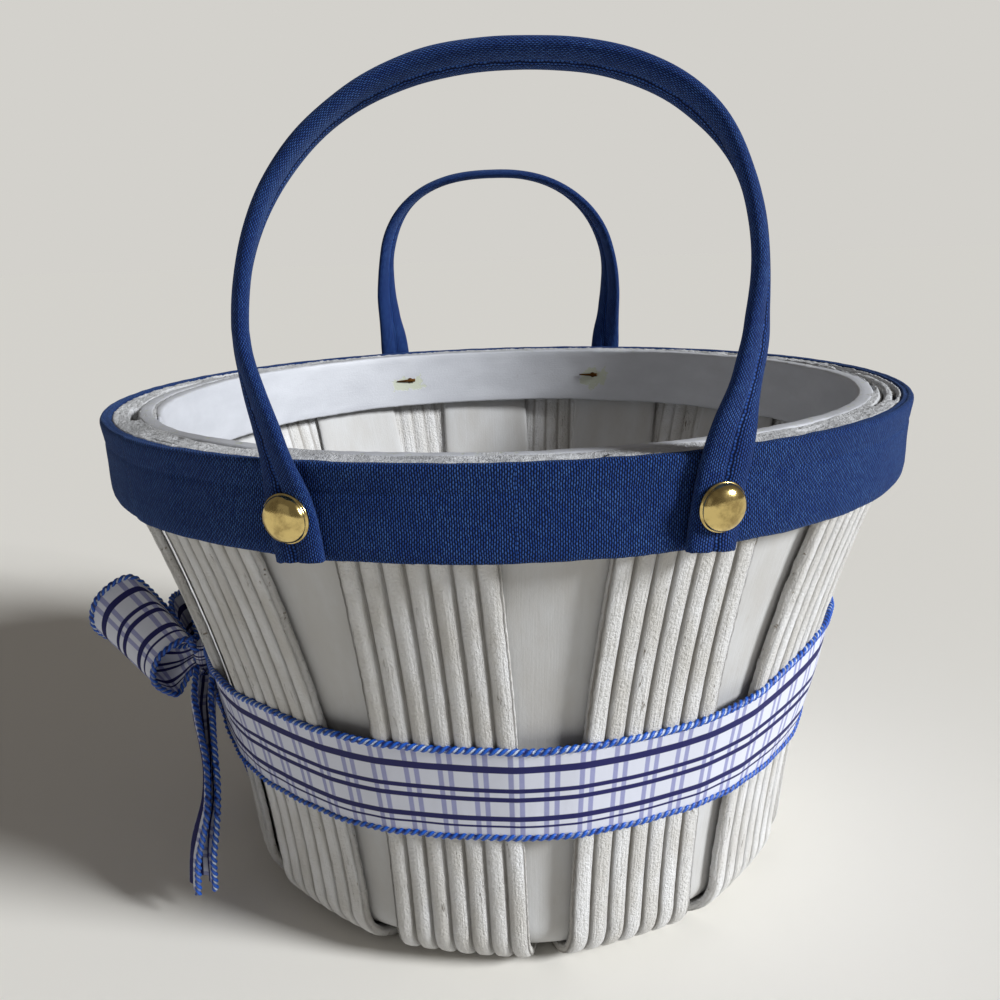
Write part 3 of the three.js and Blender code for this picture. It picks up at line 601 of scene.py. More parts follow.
@dataclass(frozen=True)
class Paint:
    """Brushed paint over wood, thin and darkened in its grooves, partly by dirt and partly as painted shade,
    cracked and chipped at its edges.
    """

    name: str
    colour: Colour = srgb(226, 227, 229)
    shade: Colour = srgb(200, 198, 194)
    # The colour that the groove mark darkens towards: dirt and painted shade.
    groove: Colour = srgb(112, 103, 92)
    wood: Colour = srgb(150, 136, 118)
    roughness: float = 0.72
    streaks: float = 1.0
    lumps: float = 1.4
    wear: float = 0.12
    bump: float = 0.8
    follows_piece: bool = True
    grime_and_shade_share: float = 0.85
    chip_share: float = 0.85
    chip_depth: float = 1.2
    bump_distance: float = 0.8

    def material(self) -> bpy.types.Material:
        """Makes the finish.

        Returns:
            The material.
        """
        material, graph, shader = new_material(self.name)
        place = graph.flat_place() if self.follows_piece else graph.object_place()
        brush = graph.group(BRUSHWORK, {"Place": place, "Streaks": self.streaks, "Lumps": self.lumps})
        edges = graph.attribute("edge")
        chips = graph.group(CHIPS, {"Place": place, "Edge": edges, "Wear": self.wear})["Mask"]
        base = graph.mix(graph.step(brush["Tone"], 0.3, 0.75), self.shade, self.colour)
        base = graph.mix(graph.times(graph.step(brush["Streak"], 0.62, 0.8), 0.35), base, self.shade)
        # The groove mark darkens the paint: dirt and painted shade in the rib grooves, painted shade at the
        # stave sides and in the rim's splits.
        depth = graph.math("POWER", graph.attribute("groove"), 1.3)
        grime_and_shade = graph.times(depth, graph.step(brush["Streak"], 0.1, 0.6))
        base = graph.mix(graph.times(grime_and_shade, self.grime_and_shade_share), base, self.groove)
        base = graph.mix(graph.times(brush["Flaw"], self.lumps * 0.7), base, self.groove)
        base = graph.mix(graph.times(chips, self.chip_share), base, self.wood)
        height = graph.math("MULTIPLY_ADD", chips, -self.chip_depth, brush["Height"])
        graph.fill(shader, {
            "Base Color": base,
            "Roughness": graph.math("MULTIPLY_ADD", brush["Tone"], 0.2, self.roughness - 0.1),
            "Normal": graph.bump(height, self.bump, self.bump_distance),
        })
        return material


@dataclass(frozen=True)
class Canvas:
    """Dyed cotton canvas, paler on the tops of its threads partly where it is worn and partly as painted
    highlight, and darker between its threads as painted shade.
    """

    name: str
    colour: Colour = srgb(24, 62, 138)
    hollow_shade: Colour = srgb(4, 11, 38)
    crown_wear_and_highlight: Colour = srgb(90, 138, 206)
    column: float = 0.62
    row: float = 1.15
    crown_wear_and_highlight_share: float = 0.45
    turned: bool = False
    speck: Colour = srgb(196, 202, 215)
    sheen: Colour = srgb(150, 186, 250)

    def material(self) -> bpy.types.Material:
        """Makes the finish.

        Returns:
            The material.
        """
        material, graph, shader = new_material(self.name, {
            "Roughness": 0.92,
            "Specular IOR Level": 0.15,
            "Sheen Weight": 0.16,
            "Sheen Roughness": 0.45,
            "Sheen Tint": (*self.sheen, 1.0),
        })
        place = graph.flat_place()
        if self.turned:
            across, along, _ = graph.parts(place)
            place = graph.add("ShaderNodeCombineXYZ", {0: along, 1: across}).outputs[0]
        weave = graph.group(WEAVE, {"Place": place, "Column": self.column, "Row": self.row})
        # Darker between the threads: painted shade.
        base = graph.mix(weave["Height"], self.hollow_shade, self.colour)
        worn = graph.step(graph.grain(place, (0.05, 0.05, 0.05), 5.0, 0.6), 0.3, 0.7)
        # Paler on the tops of the threads, varied by cell and in worn patches: partly wear, partly painted
        # highlight.
        bright = graph.times(graph.step(weave["Tone"], -0.2, 1.2), weave["Height"])
        share = graph.times(bright, graph.math("MULTIPLY_ADD", worn, 0.6, 0.4))
        base = graph.mix(graph.times(share, self.crown_wear_and_highlight_share), base, self.crown_wear_and_highlight)
        specks = graph.step(graph.grain(place, (0.7, 0.7, 0.7), 6.0, 0.7), 0.74, 0.8)
        base = graph.mix(graph.times(specks, graph.attribute("edge")), base, self.speck)
        graph.fill(shader, {"Base Color": base, "Normal": graph.bump(weave["Height"], 0.8, 0.2)})
        return material


@dataclass(frozen=True)
class CheckedSatin:
    """White satin ribbon with navy stripes along it and pairs of pale stripes across."""

    name: str
    width: float = 31.0
    white: Colour = srgb(208, 212, 226)
    navy: Colour = srgb(6, 8, 84)
    lilac: Colour = srgb(116, 120, 178)
    repeat: float = 10.0
    navy_bands: tuple[tuple[float, float], ...] = (
        (0.16, 0.238), (0.418, 0.468), (0.522, 0.575), (0.745, 0.805), (0.855, 0.88))
    pale_bands: tuple[tuple[float, float], ...] = ((0.06, 0.21), (0.36, 0.51))
    edge: float = 0.14
    yarn: float = 0.4

    def bands(self, graph: Graph, value: Socket, bands: Sequence[tuple[float, float]], soft: float) -> Socket:
        """Finds the bands of a value.

        Args:
            graph: The material's graph.
            value: The value.
            bands: The low and the high side of each band.
            soft: Half the width of a side that fades.

        Returns:
            1 inside the bands and 0 between them.
        """
        total: object = 0.0
        for low, high in bands:
            risen = graph.step(value, low - soft, low + soft)
            total = graph.math("ADD", total, graph.times(risen, graph.step(value, high + soft, high - soft)))
        return total

    def material(self) -> bpy.types.Material:
        """Makes the finish.

        Returns:
            The material.
        """
        material, graph, shader = new_material(self.name)
        place = graph.flat_place()
        side, length, _ = graph.parts(place)
        across = graph.math("DIVIDE", side, self.width)
        along = graph.math("FRACT", graph.math("DIVIDE", length, self.repeat))
        stripes = self.bands(graph, across, self.navy_bands, self.edge / self.width)
        pairs = self.bands(graph, along, self.pale_bands, self.edge / self.repeat)
        yarns = graph.math("SINE", graph.times(side, math.tau / self.yarn))
        broken = graph.math("MULTIPLY_ADD", yarns, 0.2, 0.75)
        base = graph.mix(graph.times(pairs, broken), self.white, self.lilac)
        wrinkles = graph.grain(place, (0.1, 0.28, 1.0), 3.0)
        height = graph.math("MULTIPLY_ADD", yarns, 0.03, wrinkles)
        graph.fill(shader, {
            "Base Color": graph.mix(stripes, base, self.navy),
            "Roughness": graph.math("MULTIPLY_ADD", stripes, 0.25, 0.5),
            "Normal": graph.bump(height, 0.25, 0.5),
        })
        return material


@dataclass(frozen=True)
class EdgeThread:
    """Glossy blue thread wrapped over a ribbon's edge, darker between its turns as painted shade, with the
    white satin showing between them.
    """

    name: str
    thread: Colour = srgb(24, 90, 194)
    hollow_shade: Colour = srgb(7, 24, 92)
    white: Colour = srgb(206, 220, 242)
    white_share: float = 0.9

    def material(self) -> bpy.types.Material:
        """Makes the finish.

        Returns:
            The material.
        """
        material, graph, shader = new_material(self.name, {"Roughness": 0.4})
        twist = graph.attribute("twist")
        place = graph.flat_place()
        # Darker where the thread dips between its turns: painted shade.
        base = graph.mix(graph.step(twist, -0.7, 0.7), self.hollow_shade, self.thread)
        patchy = graph.step(graph.grain(place, (0.12, 0.22, 0.1), 2.0), 0.42, 0.54)
        gap = graph.times(graph.step(twist, -0.2, -0.7), patchy)
        strands = graph.grain(place, (3.0, 3.0, 3.0), 2.0)
        graph.fill(shader, {
            "Base Color": graph.mix(graph.times(gap, self.white_share), base, self.white),
            "Normal": graph.bump(strands, 0.5, 0.2),
        })
        return material


@dataclass(frozen=True)
class Metal:
    """Plated or bare metal with fine scratches and some tarnish."""

    name: str
    colour: Colour
    tarnish: Colour
    roughness: float
    tarnish_share: float

    def material(self) -> bpy.types.Material:
        """Makes the finish.

        Returns:
            The material.
        """
        material, graph, shader = new_material(self.name, {"Metallic": 1.0})
        place = graph.object_place()
        spots = graph.step(graph.noise(place, 0.25, 3.0, 0.6), 0.4, 0.7)
        dull = graph.attribute("dull")
        tarnish = graph.math("MAXIMUM", graph.times(spots, self.tarnish_share), dull)
        rough = graph.math("MULTIPLY_ADD", dull, 0.4, self.roughness)
        stretched = graph.stretch(place, (1.0, 1.0, 6.0))
        scratches = graph.noise(stretched, 1.2, 4.0)
        graph.fill(shader, {
            "Base Color": graph.mix(tarnish, self.colour, self.tarnish),
            "Roughness": graph.math("MULTIPLY_ADD", spots, 0.14, rough),
            "Normal": graph.bump(scratches, 0.08, 0.1),
        })
        return material


@dataclass(frozen=True)
class RawWood:
    """Bare veneer with its grain along the piece."""

    name: str
    light: Colour = srgb(205, 184, 150)
    dark: Colour = srgb(150, 120, 86)

    def material(self) -> bpy.types.Material:
        """Makes the finish.

        Returns:
            The material.
        """
        material, graph, shader = new_material(self.name)
        grain = graph.grain(graph.flat_place(), (1.2, 0.04, 1.2), 5.0, 0.65)
        graph.fill(shader, {
            "Base Color": graph.mix(graph.step(grain, 0.3, 0.75), self.light, self.dark),
            "Roughness": graph.math("MULTIPLY_ADD", grain, 0.2, 0.6),
            "Normal": graph.bump(grain, 0.3, 0.3),
        })
        return material


@dataclass(frozen=True)
class Side:
    """The side of the basket: the outer face of the ribbed staves as a radius at a height."""

    top: float
    hoop_bottom: float
    rim_radius: float
    rim_lean: float = 1.4
    stave_depth: float = 5.5
    waist: float = 104.0
    foot_turn: float = 18.0
    lean: float = 0.38
    bend_drop: float = 2.0
    end_radius: float = 66.0
    tuck_radius: float = 76.0
    tuck_height: float = 3.0
    foot_flat: float = 2.0
    foot_steps: int = 12
    face_steps: int = 60
    first_ribbed: float = -11.0

    def rim(self, height: float) -> float:
        """Radius of the rim's outer face at a height."""
        return self.rim_radius - self.rim_lean * (self.top - height) / (self.top - self.hoop_bottom)

    def face(self, height: float) -> float:
        """Radius of the ribbed staves' outer face.

        Args:
            height: The height, in millimetres.

        Returns:
            The radius: round at the foot, curved outwards above it and as steep as the rim behind it.
        """
        if height < self.foot_turn:
            drop = self.foot_turn - max(height, 0.0)
            return self.waist - self.foot_turn + math.sqrt(self.foot_turn**2 - drop**2)
        mouth = self.hoop_bottom - self.bend_drop
        if height > mouth:
            return self.rim(height) - self.stave_depth
        share = (height - self.foot_turn) / (mouth - self.foot_turn)
        flare = self.rim(mouth) - self.stave_depth - self.waist
        return self.waist + flare * (self.lean * share + (1 - self.lean) * share * share)

    def route(self, top: float) -> Path:
        """The face from the staves' ends under the board upwards.

        Args:
            top: The height it goes to.

        Returns:
            The line, with the radius as x.
        """
        bend = self.waist - self.foot_turn
        points = [(self.end_radius, self.tuck_height), (self.tuck_radius, self.tuck_height)]
        points.append((bend - self.foot_flat, 0.0))
        for i in range(self.foot_steps + 1):
            angle = math.radians(90 / self.foot_steps * i)
            points.append((bend + self.foot_turn * math.sin(angle), self.foot_turn * (1 - math.cos(angle))))
        for i in range(1, self.face_steps + 1):
            height = lerp(self.foot_turn, top, i / self.face_steps)
            points.append((self.face(height), height))
        return Path([Vector((radius, 0.0, height)) for radius, height in points])

    def ribbed_azimuth(self, i: int) -> float:
        """Azimuth of a ribbed stave."""
        return self.first_ribbed + 360 * i / STAVE_PAIRS

    def from_stave(self, azimuth: float, stave: float) -> float:
        """Degrees to the nearest stave of a layer that has one at the azimuth given as stave."""
        away = turn_between(azimuth, stave) % STAVE_PITCH
        return min(away, STAVE_PITCH - away)

    def standing_out(self, azimuth: float, height: float, half_width: float, flatness: float) -> float:
        """How far the nearly flat ribbed staves, and what spans them, stand out past the round face.

        Args:
            azimuth: The azimuth, in degrees.
            height: The height, in millimetres.
            half_width: Half a stave's width, beyond which nothing more is added.
            flatness: 0 for a stave as round as the basket, 1 for a flat one.

        Returns:
            The distance, in millimetres.
        """
        away = self.from_stave(azimuth, self.ribbed_azimuth(0))
        across = min(self.face(height) * math.sin(math.radians(away)), half_width)
        return flatness * across * across / (2 * self.face(height))


class Layer(Enum):
    """The two layers of staves."""

    RIBBED = "ribbed"
    SMOOTH = "smooth"


@dataclass
class Staves:
    """Both layers of staves, each stave a little different from the next."""

    side: Side
    rows: int = 140
    ribbed_width: float = 42.6
    ribbed_thickness: float = 3.2
    rib_count: int = 7
    rib_depth: float = 1.75
    rib_share: float = 0.88
    inner_rib_depth: float = 0.6
    rib_fullness: float = 2.9
    rib_samples: tuple[float, ...] = (-1.0, -0.87, -0.83, -0.74, -0.5, 0.0, 0.5, 0.74, 0.83, 0.87)
    inner_samples: tuple[float, ...] = (-1.0, -0.6, 0.0, 0.6)
    ribbed_flatness: float = 0.5
    smooth_width: float = 43.0
    smooth_end_width: float = 24.0
    smooth_depth: float = 3.6
    smooth_thickness: float = 2.0
    smooth_columns: int = 18
    smooth_flatness: float = 0.15
    side_gap: float = 0.8
    top_drop: float = 1.4
    width_change: float = 0.6
    height_change: float = 0.5
    end_rib_share: float = 0.45
    sway: float = 0.18
    edge_sway: float = 0.1
    fibre: float = 0.13
    burr: float = 0.45
    warp: float = 0.16
    dent: float = 0.04
    edge_power: int = 14
    pattern_step: float = 400.0
    groove_darkness: tuple[float, ...] = (0.8, 1.0, 0.45, 0.5, 0.6, 0.7, 0.9, 0.6, 0.8, 0.7, 0.9, 0.9)
    rib_scales: tuple[float, ...] = (1.0, 0.72, 0.62, 0.8, 0.9, 0.75, 0.85, 0.8, 0.9, 0.8, 0.75, 0.62)
    turns: tuple[float, ...] = (0.0, 0.6, 0.0, -0.2, 0.3, 0.1, -0.3, 0.2, 0.0, -0.2, 0.1, 0.2)
    ribbed_paint: Paint = Paint("ribbed_paint")
    # The smooth staves' paint is a darker copy of the ribbed staves' white: painted shade of the smooth
    # staves between and behind the ribbed ones.
    shaded_smooth_paint: Paint = Paint(
        "shaded_smooth_paint", srgb(194, 195, 196), srgb(184, 183, 181), srgb(150, 140, 125),
        streaks=0.3, lumps=0.25, wear=0.04, bump=0.3)

    def rib(self, across: float, depth: float) -> float:
        """Depth below the crests of the ribs.

        Args:
            across: The place across the stave, from -1 to 1.
            depth: Depth of the grooves.

        Returns:
            The depth there.
        """
        local = abs(2 * (((across + 1) / 2 * self.rib_count) % 1) - 1) / self.rib_share
        full = self.rib_fullness
        return depth * (1 - (1 - min(local, 1.0) ** full) ** (1 / full))

    def ribbed_section(self, rib_depth: float) -> list[Triple]:
        """Section of a ribbed stave.

        Args:
            rib_depth: Depth of the grooves on its outer face.

        Returns:
            Its (place across, depth, groove mark) points once round.
        """
        section = []
        faces = ((self.rib_samples, rib_depth, True), (self.inner_samples, self.inner_rib_depth, False))
        for samples, depth, front in faces:
            places = [
                -1 + (2 * i + local + 1) / self.rib_count for i in range(self.rib_count) for local in samples]
            for place in [*places, 1.0]:
                below = self.end_rib_share * depth if abs(place) == 1.0 else self.rib(place, depth)
                groove = ease(below / depth, 0.35, 0.95)
                if front:
                    # The left side gets a full groove mark and the right side less: painted shade of the gap
                    # beside each stave, darker on the side away from the light.
                    section.append((place, below, {-1.0: 1.0, 1.0: 0.3}.get(place, groove)))
                else:
                    section.append((-place, self.ribbed_thickness - below, groove))
        return section

    def smooth_section(self) -> list[Triple]:
        """Section of a smooth stave, with its edges rounded.

        Returns:
            Its (place across, depth, groove mark) points once round.
        """
        section = []
        half = self.smooth_thickness / 2
        for direction in (-1, 1):
            for i in range(self.smooth_columns + 1):
                share = math.sin((i / self.smooth_columns - 0.5) * math.pi)
                bulge = half * (1 - abs(share) ** self.edge_power) ** 0.5
                middle = self.smooth_depth + half
                section.append((-direction * share, middle + direction * bulge, 0.0))
        return section

    def stave(self, layer: Layer, i_stave: int) -> Mesh:
        """One stave.

        Args:
            layer: Which layer it belongs to.
            i_stave: Its place round the basket, counted from 0.

        Returns:
            Its mesh.
        """
        ribbed = layer is Layer.RIBBED
        seed = 3.7 * i_stave + (0.0 if ribbed else 11.3)
        azimuth = self.side.ribbed_azimuth(i_stave) + (self.turns[i_stave] if ribbed else STAVE_PITCH / 2)
        rib_depth = self.rib_depth * self.rib_scales[i_stave]
        section = self.ribbed_section(rib_depth) if ribbed else self.smooth_section()
        width = self.ribbed_width if ribbed else self.smooth_width
        end_width = width if ribbed else self.smooth_end_width
        flatness = self.ribbed_flatness if ribbed else self.smooth_flatness
        lift = self.height_change * math.sin(7 * seed)
        route = self.side.route(self.side.top - self.top_drop + lift)
        stations = [(route.at(j / self.rows), route.run(j / self.rows)) for j in range(self.rows + 1)]
        turned = Matrix.Rotation(math.radians(azimuth), 3, "Z")

        def half_width(radius: float) -> float:
            """Half the stave's width, narrower at its foot and clear of the next stave.

            Args:
                radius: The radius at that place of the stave.

            Returns:
                The distance.
            """
            room = radius * math.sin(math.pi / STAVE_PAIRS) - self.side_gap / 2
            tuck = ease(radius, self.side.end_radius, self.side.waist - self.side.foot_turn)
            changed = width + self.width_change * math.sin(3 * seed)
            return min(changed / 2, room, lerp(end_width, width, tuck) / 2)

        def place(i: int, j: int) -> Vector:
            """A point of the stave, uneven as split wood and brushed paint are.

            Args:
                i: The column of the grid.
                j: The row of the grid.

            Returns:
                The point.
            """
            across, depth, groove = section[i % len(section)]
            point, run = stations[j]
            out = Vector((run.z, 0.0, -run.x))
            spot = Vector((across * width / 2, 0.0, j / self.rows * route.length))
            edge = ease(abs(across), 0.9, 1.0)
            sway = self.sway * ripple(Vector((0.0, 0.0, spot.z)), 30.0, seed)
            sway += self.edge_sway * ripple(spot, 2.0, seed + 3)
            x = across * half_width(point.x) + sway * (0.5 + edge)
            if ribbed:
                rough = self.fibre * ripple(Vector((spot.x, 0.0, spot.z / 3)), 1.2, seed)
                depth += rough * (1 - 0.6 * groove) + self.burr * edge * max(0.0, ripple(spot, 3.5, seed + 8))
            else:
                depth += self.warp * ripple(spot, 30.0, seed) + self.dent * ripple(spot, 5.0, seed + 2)
            radius = point.x - depth * out.x
            angle = x / point.x
            along = lerp(radius * math.sin(angle), x, flatness)
            outward = lerp(radius * math.cos(angle), radius, flatness)
            height = max(point.z - depth * out.z, 0.0)
            if j == self.rows:
                height += self.height_change * ripple(spot + Vector((0, depth, 0)), 2.2, seed + 11)
            return turned @ Vector((along, -outward, height))

        def edge_mark(i: int, j: int) -> float:
            """How worn the paint is: most at the sides, the top and the crests.

            Args:
                i: The column of the grid.
                j: The row of the grid.

            Returns:
                From 0 to 1.
            """
            across, _, groove = section[i % len(section)]
            crest = 0.45 * (1 - groove) if ribbed else 0.0
            return max(ease(abs(across), 0.85, 1.0), crest, ease(j, self.rows - 3, self.rows))

        # Each stave's groove mark is scaled by its own share; it darkens the rib grooves (dirt and painted
        # shade) and the stave's sides (painted shade).
        groove_darkness = self.groove_darkness[i_stave] if ribbed else 1.0
        marks = {"edge": edge_mark, "groove": lambda i, j: groove_darkness * section[i % len(section)][2]}
        flat = (2.1 * width, route.length)
        mesh = wrapped_grid(len(section), self.rows, place, flat, closed=True, marks=marks)
        shift_pattern(mesh, self.pattern_step * i_stave)
        return mesh

    def build(self) -> None:
        """Builds and dresses all the staves."""
        finishes = {Layer.RIBBED: self.ribbed_paint.material(), Layer.SMOOTH: self.shaded_smooth_paint.material()}
        for i in range(STAVE_PAIRS):
            for layer in Layer:
                node = f"{layer.value}_stave_{i + 1:02d}"
                piece = finish_mesh(f"painted_{node}", self.stave(layer, i), finishes[layer])
                hand_over(piece, [node])


@dataclass
class Rim:
    """The hoops, the canvas round the outer one, and the paint on the staves' upper ends."""

    side: Side
    steps: int = 360
    hoop_depth: float = 11.6
    hoop_thickness: float = 5.0
    lap_start: float = -125.0
    lap_arc: float = 60.0
    lap_taper: float = 25.0
    lap_ramp: float = 10.0
    lap_tip: float = 1.2
    gap: float = 0.3
    outer_depth: float = 1.1
    outer_thickness: float = 3.0
    cloth_thickness: float = 0.6
    cloth_end: float = -52.0
    cloth_lap: float = 14.0
    crease_height: float = 165.8
    clinches: tuple[float, ...] = (-22.6, 20.2, 158.6, -158.6)
    clinch_height: float = 160.0
    crust_start: float = 3.0
    crust_thickness: float = 0.4
    crust_columns: int = 44
    crust_flat: tuple[float, float] = (13.0, 840.0)
    cloth_columns: int = 56
    split_depths: tuple[float, ...] = (5.4, 9.0, 11.6)
    split_azimuth: float = 82.0
    layer_line: float = 8.7
    split_drop: float = 3.2
    edge_drop: float = 1.2
    joint_azimuth: float = 140.0
    joint_slit: float = 0.4
    rounding: float = 0.9
    lip_drop: float = 1.9
    hoop_paint: Paint = Paint(
        "hoop_paint", srgb(200, 203, 210), srgb(188, 191, 198), srgb(150, 150, 150), srgb(190, 196, 176),
        roughness=0.45, streaks=0.2, lumps=0.35, wear=0.16, bump=0.3)
    # Its near-black groove colour is painted shade for the rim's splits and holes.
    crust_paint: Paint = Paint(
        "rim_paint", srgb(218, 220, 223), srgb(176, 178, 181), srgb(40, 38, 36), srgb(112, 106, 100),
        roughness=0.75, streaks=0.3, lumps=1.0, wear=0.1, bump=0.8, follows_piece=False)
    canvas: Canvas = Canvas("rim_canvas", turned=True)
    wood: RawWood = RawWood("hoop_wood")

    def rounded_strip(
        self, depth: float, thickness: float, bottom: float, top: float
    ) -> list[tuple[float, float]]:
        """Section of a hoop, with its long edges eased.

        Args:
            depth: Depth of its outer face below the rim's outer face.
            thickness: Its thickness.
            bottom: Height of its lower edge.
            top: Height of its upper edge.

        Returns:
            Its (depth, height) points once round.
        """
        section = []
        round_off = min(self.rounding, thickness / 2.2)
        middle = [lerp(bottom, top, i / 8) for i in range(1, 8)]
        inside = depth + thickness
        corners = (
            (depth, bottom, -90, middle), (depth, top, 180, []), (inside, top, 90, middle[::-1]),
            (inside, bottom, 0, []))
        for x, z, start, heights in corners:
            corner_x = x + (round_off if x == depth else -round_off)
            corner_z = z + (round_off if z == bottom else -round_off)
            for step in range(4):
                angle = math.radians(start - 30 * step)
                beside, over = round_off * math.cos(angle), round_off * math.sin(angle)
                section.append((corner_x + beside, corner_z + over))
            section += [(x, height) for height in heights]
        return section

    def lap_thickness(self, azimuth: float) -> float:
        """Thickness of the inner hoop, thinned at both ends of its strip.

        Args:
            azimuth: The azimuth along the strip, which goes on past a full turn.

        Returns:
            The thickness.
        """
        end = self.lap_start + 360 + self.lap_arc
        from_end = min(azimuth - self.lap_start, end - azimuth)
        return lerp(self.lap_tip, self.hoop_thickness, min(from_end / self.lap_taper, 1.0))

    def lap_offset(self, azimuth: float) -> float:
        """How far the inner hoop is set in where it passes over its other end.

        Args:
            azimuth: The azimuth along the strip, which goes on past a full turn.

        Returns:
            The distance.
        """
        past = azimuth - self.lap_start - 360
        if past >= 0:
            return self.lap_thickness(self.lap_start + past) + self.gap
        return max(0.0, 1 + past / self.lap_ramp) * (self.lap_tip + self.gap)

    def inner_hoop(self) -> Mesh:
        """The inner hoop, a strip that laps over itself at the left.

        Returns:
            Its mesh.
        """
        span = 360 + self.lap_arc
        steps = round(self.steps * span / 360)
        bottom, top = self.side.hoop_bottom, self.side.top
        heights = [z for _, z in self.rounded_strip(0, self.hoop_thickness, bottom, top)]
        count = len(heights)

        def place(i: int, j: int) -> Vector:
            """A point of the hoop, its edges a little wavy.

            Args:
                i: The column of the grid.
                j: The row of the grid.

            Returns:
                The point.
            """
            azimuth = self.lap_start + span * j / steps
            depth = self.hoop_depth + self.lap_offset(azimuth)
            section = self.rounded_strip(depth, self.lap_thickness(azimuth), bottom, top)
            inwards, height = section[i % count]
            spot = polar(azimuth, 130, 0)
            lift = 0.45 * ripple(spot, 40.0) + (0.18 * ripple(spot, 3.0, 4.0) if height > top - 2 else 0.0)
            if height < bottom + 2:
                lift += 0.22 * ripple(spot, 2.4, 9.0)
            inwards += 0.18 * ripple(polar(azimuth, 100, 2 * height), 9.0, 2.0)
            return polar(azimuth, self.side.rim(height) - inwards, height + lift)

        def bare(azimuth: float, height: float) -> float:
            """How bare the hoop is rubbed, most round the clinched nails.

            Args:
                azimuth: The azimuth, in degrees.
                height: The height.

            Returns:
                From 0 to 1.
            """
            away = min(abs(turn_between(azimuth, spot)) for spot in self.clinches)
            uneven = 5 * ripple(polar(azimuth, 125, height), 5.0)
            return ease(9.0 - math.hypot(2.1 * away, 1.7 * (height - self.clinch_height)) + uneven, 0, 3)

        def edge_mark(i: int, j: int) -> float:
            """How worn the paint is: most at the edges and round the nails.

            Args:
                i: The column of the grid.
                j: The row of the grid.

            Returns:
                From 0 to 1, and past 1 at a nail.
            """
            height = heights[i % count]
            edge = max(ease(height, top - 2, top), ease(-height, -bottom - 2, -bottom))
            inner = i % count >= count // 2
            return max(edge, 2.6 * bare(self.lap_start + span * j / steps, height) if inner else 0.0)

        marks = {"edge": edge_mark, "groove": lambda i, j: 0.0}
        flat = (2 * (top - bottom + self.hoop_thickness), math.radians(span) * 125)
        return wrapped_grid(count, steps, place, flat, closed=True, marks=marks)

    def outer_hoop(self) -> Mesh:
        """The outer hoop under the canvas, with its ends butted at the back.

        Returns:
            Its mesh.
        """
        bottom, top = self.side.hoop_bottom, self.side.top
        section = self.rounded_strip(self.outer_depth, self.outer_thickness, bottom, top - self.lip_drop)

        def place(i: int, j: int) -> Vector:
            """A point of the hoop.

            Args:
                i: The column of the grid.
                j: The row of the grid.

            Returns:
                The point.
            """
            azimuth = self.joint_azimuth + (360 - self.joint_slit) * j / self.steps
            depth, height = section[i % len(section)]
            return polar(azimuth, self.side.rim(height) - depth, height)

        flat = (2 * (top - bottom), math.tau * 138)
        return wrapped_grid(len(section), self.steps, place, flat, closed=True)

    def cloth_profile(self) -> Path:
        """The canvas from its lower edge up over the hoop and down inside.

        Returns:
            The line, with the depth as x and the height as z.
        """
        bottom, crease, top = self.side.hoop_bottom, self.crease_height, self.side.top
        outside = (
            (1.3, -0.7), (0.5, -0.5), (0.0, 0.4), (-0.3, 2.5), (-0.2, 6.0), (0.05, 10.5))
        fold = ((0.1, -0.9), (0.42, 0.0), (0.12, 0.9))
        over = (
            (0.0, -4.5), (-0.2, -2.6), (-0.3, -1.2), (-0.15, -0.3), (0.35, 0.3), (1.0, 0.35), (1.45, -0.15),
            (1.7, -0.3), (2.0, 0.1), (2.6, 0.25), (3.1, -0.1), (3.5, -0.8), (4.3, -1.1), (4.9, -1.7),
            (5.0, -3.0), (5.0, -8.0))
        parts = ((bottom, outside), (crease, fold), (top, over))
        return Path([Vector((depth, 0.0, level + rise)) for level, points in parts for depth, rise in points])

    def cloth(self) -> Mesh:
        """The canvas round the outer hoop, its one end lapped over the other.

        Returns:
            Its mesh, a sheet.
        """
        profile = self.cloth_profile()
        columns, rows = self.cloth_columns, 2 * self.steps
        length = math.tau * self.side.rim_radius

        def lap(azimuth: float) -> float:
            """How far the canvas lies over its other end at an azimuth, from 0 to 1."""
            past = (azimuth - self.cloth_end) % 360
            return ease(past, 0.0, 0.25) * (1 - ease(past, self.cloth_lap - 4, self.cloth_lap))

        def place(i: int, j: int) -> Vector:
            """A point of the canvas, a little slack and frayed at its lower edge.

            Args:
                i: The column of the grid.
                j: The row of the grid.

            Returns:
                The point.
            """
            azimuth = 360 * j / rows
            section = profile.at(i / columns)
            outside = 1 - ease(i / columns, 0.62, 0.75)
            spot = polar(azimuth, 140, section.z)
            depth = section.x - 0.65 * lap(azimuth) * (0.35 + 0.65 * outside)
            depth -= outside * (0.3 * ripple(spot, 28.0) + 0.12 * ripple(spot, 7.0, 2.0))
            lower = 1 - ease(i / columns, 0.0, 0.06)
            lift = lower * (0.35 * ripple(spot, 12.0, 5.0) + 0.16 * ripple(spot, 1.0, 6.0))
            lift += (1 - outside) * 0.25 * ripple(spot, 6.0, 8.0)
            return polar(azimuth, self.side.rim(section.z) - depth, section.z + lift)

        def painted(i: int, j: int) -> float:
            """How much paint has got on the canvas: most at its top and along its crease.

            Args:
                i: The column of the grid.
                j: The row of the grid.

            Returns:
                From 0 to 1.
            """
            share = i / columns
            near_top = ease(share, 0.5, 0.62)
            crease = math.exp(-(((profile.at(share).z - self.crease_height) / 1.2) ** 2)) * (share < 0.6)
            spot = polar(360 * j / rows, 140, 0)
            return max(near_top * 0.9, crease * ease(ripple(spot, 22.0, 3.0), 0.0, 0.5), 0.25)

        flat = (profile.length, length)
        return join_ends(wrapped_grid(columns, rows, place, flat, marks={"edge": painted}))

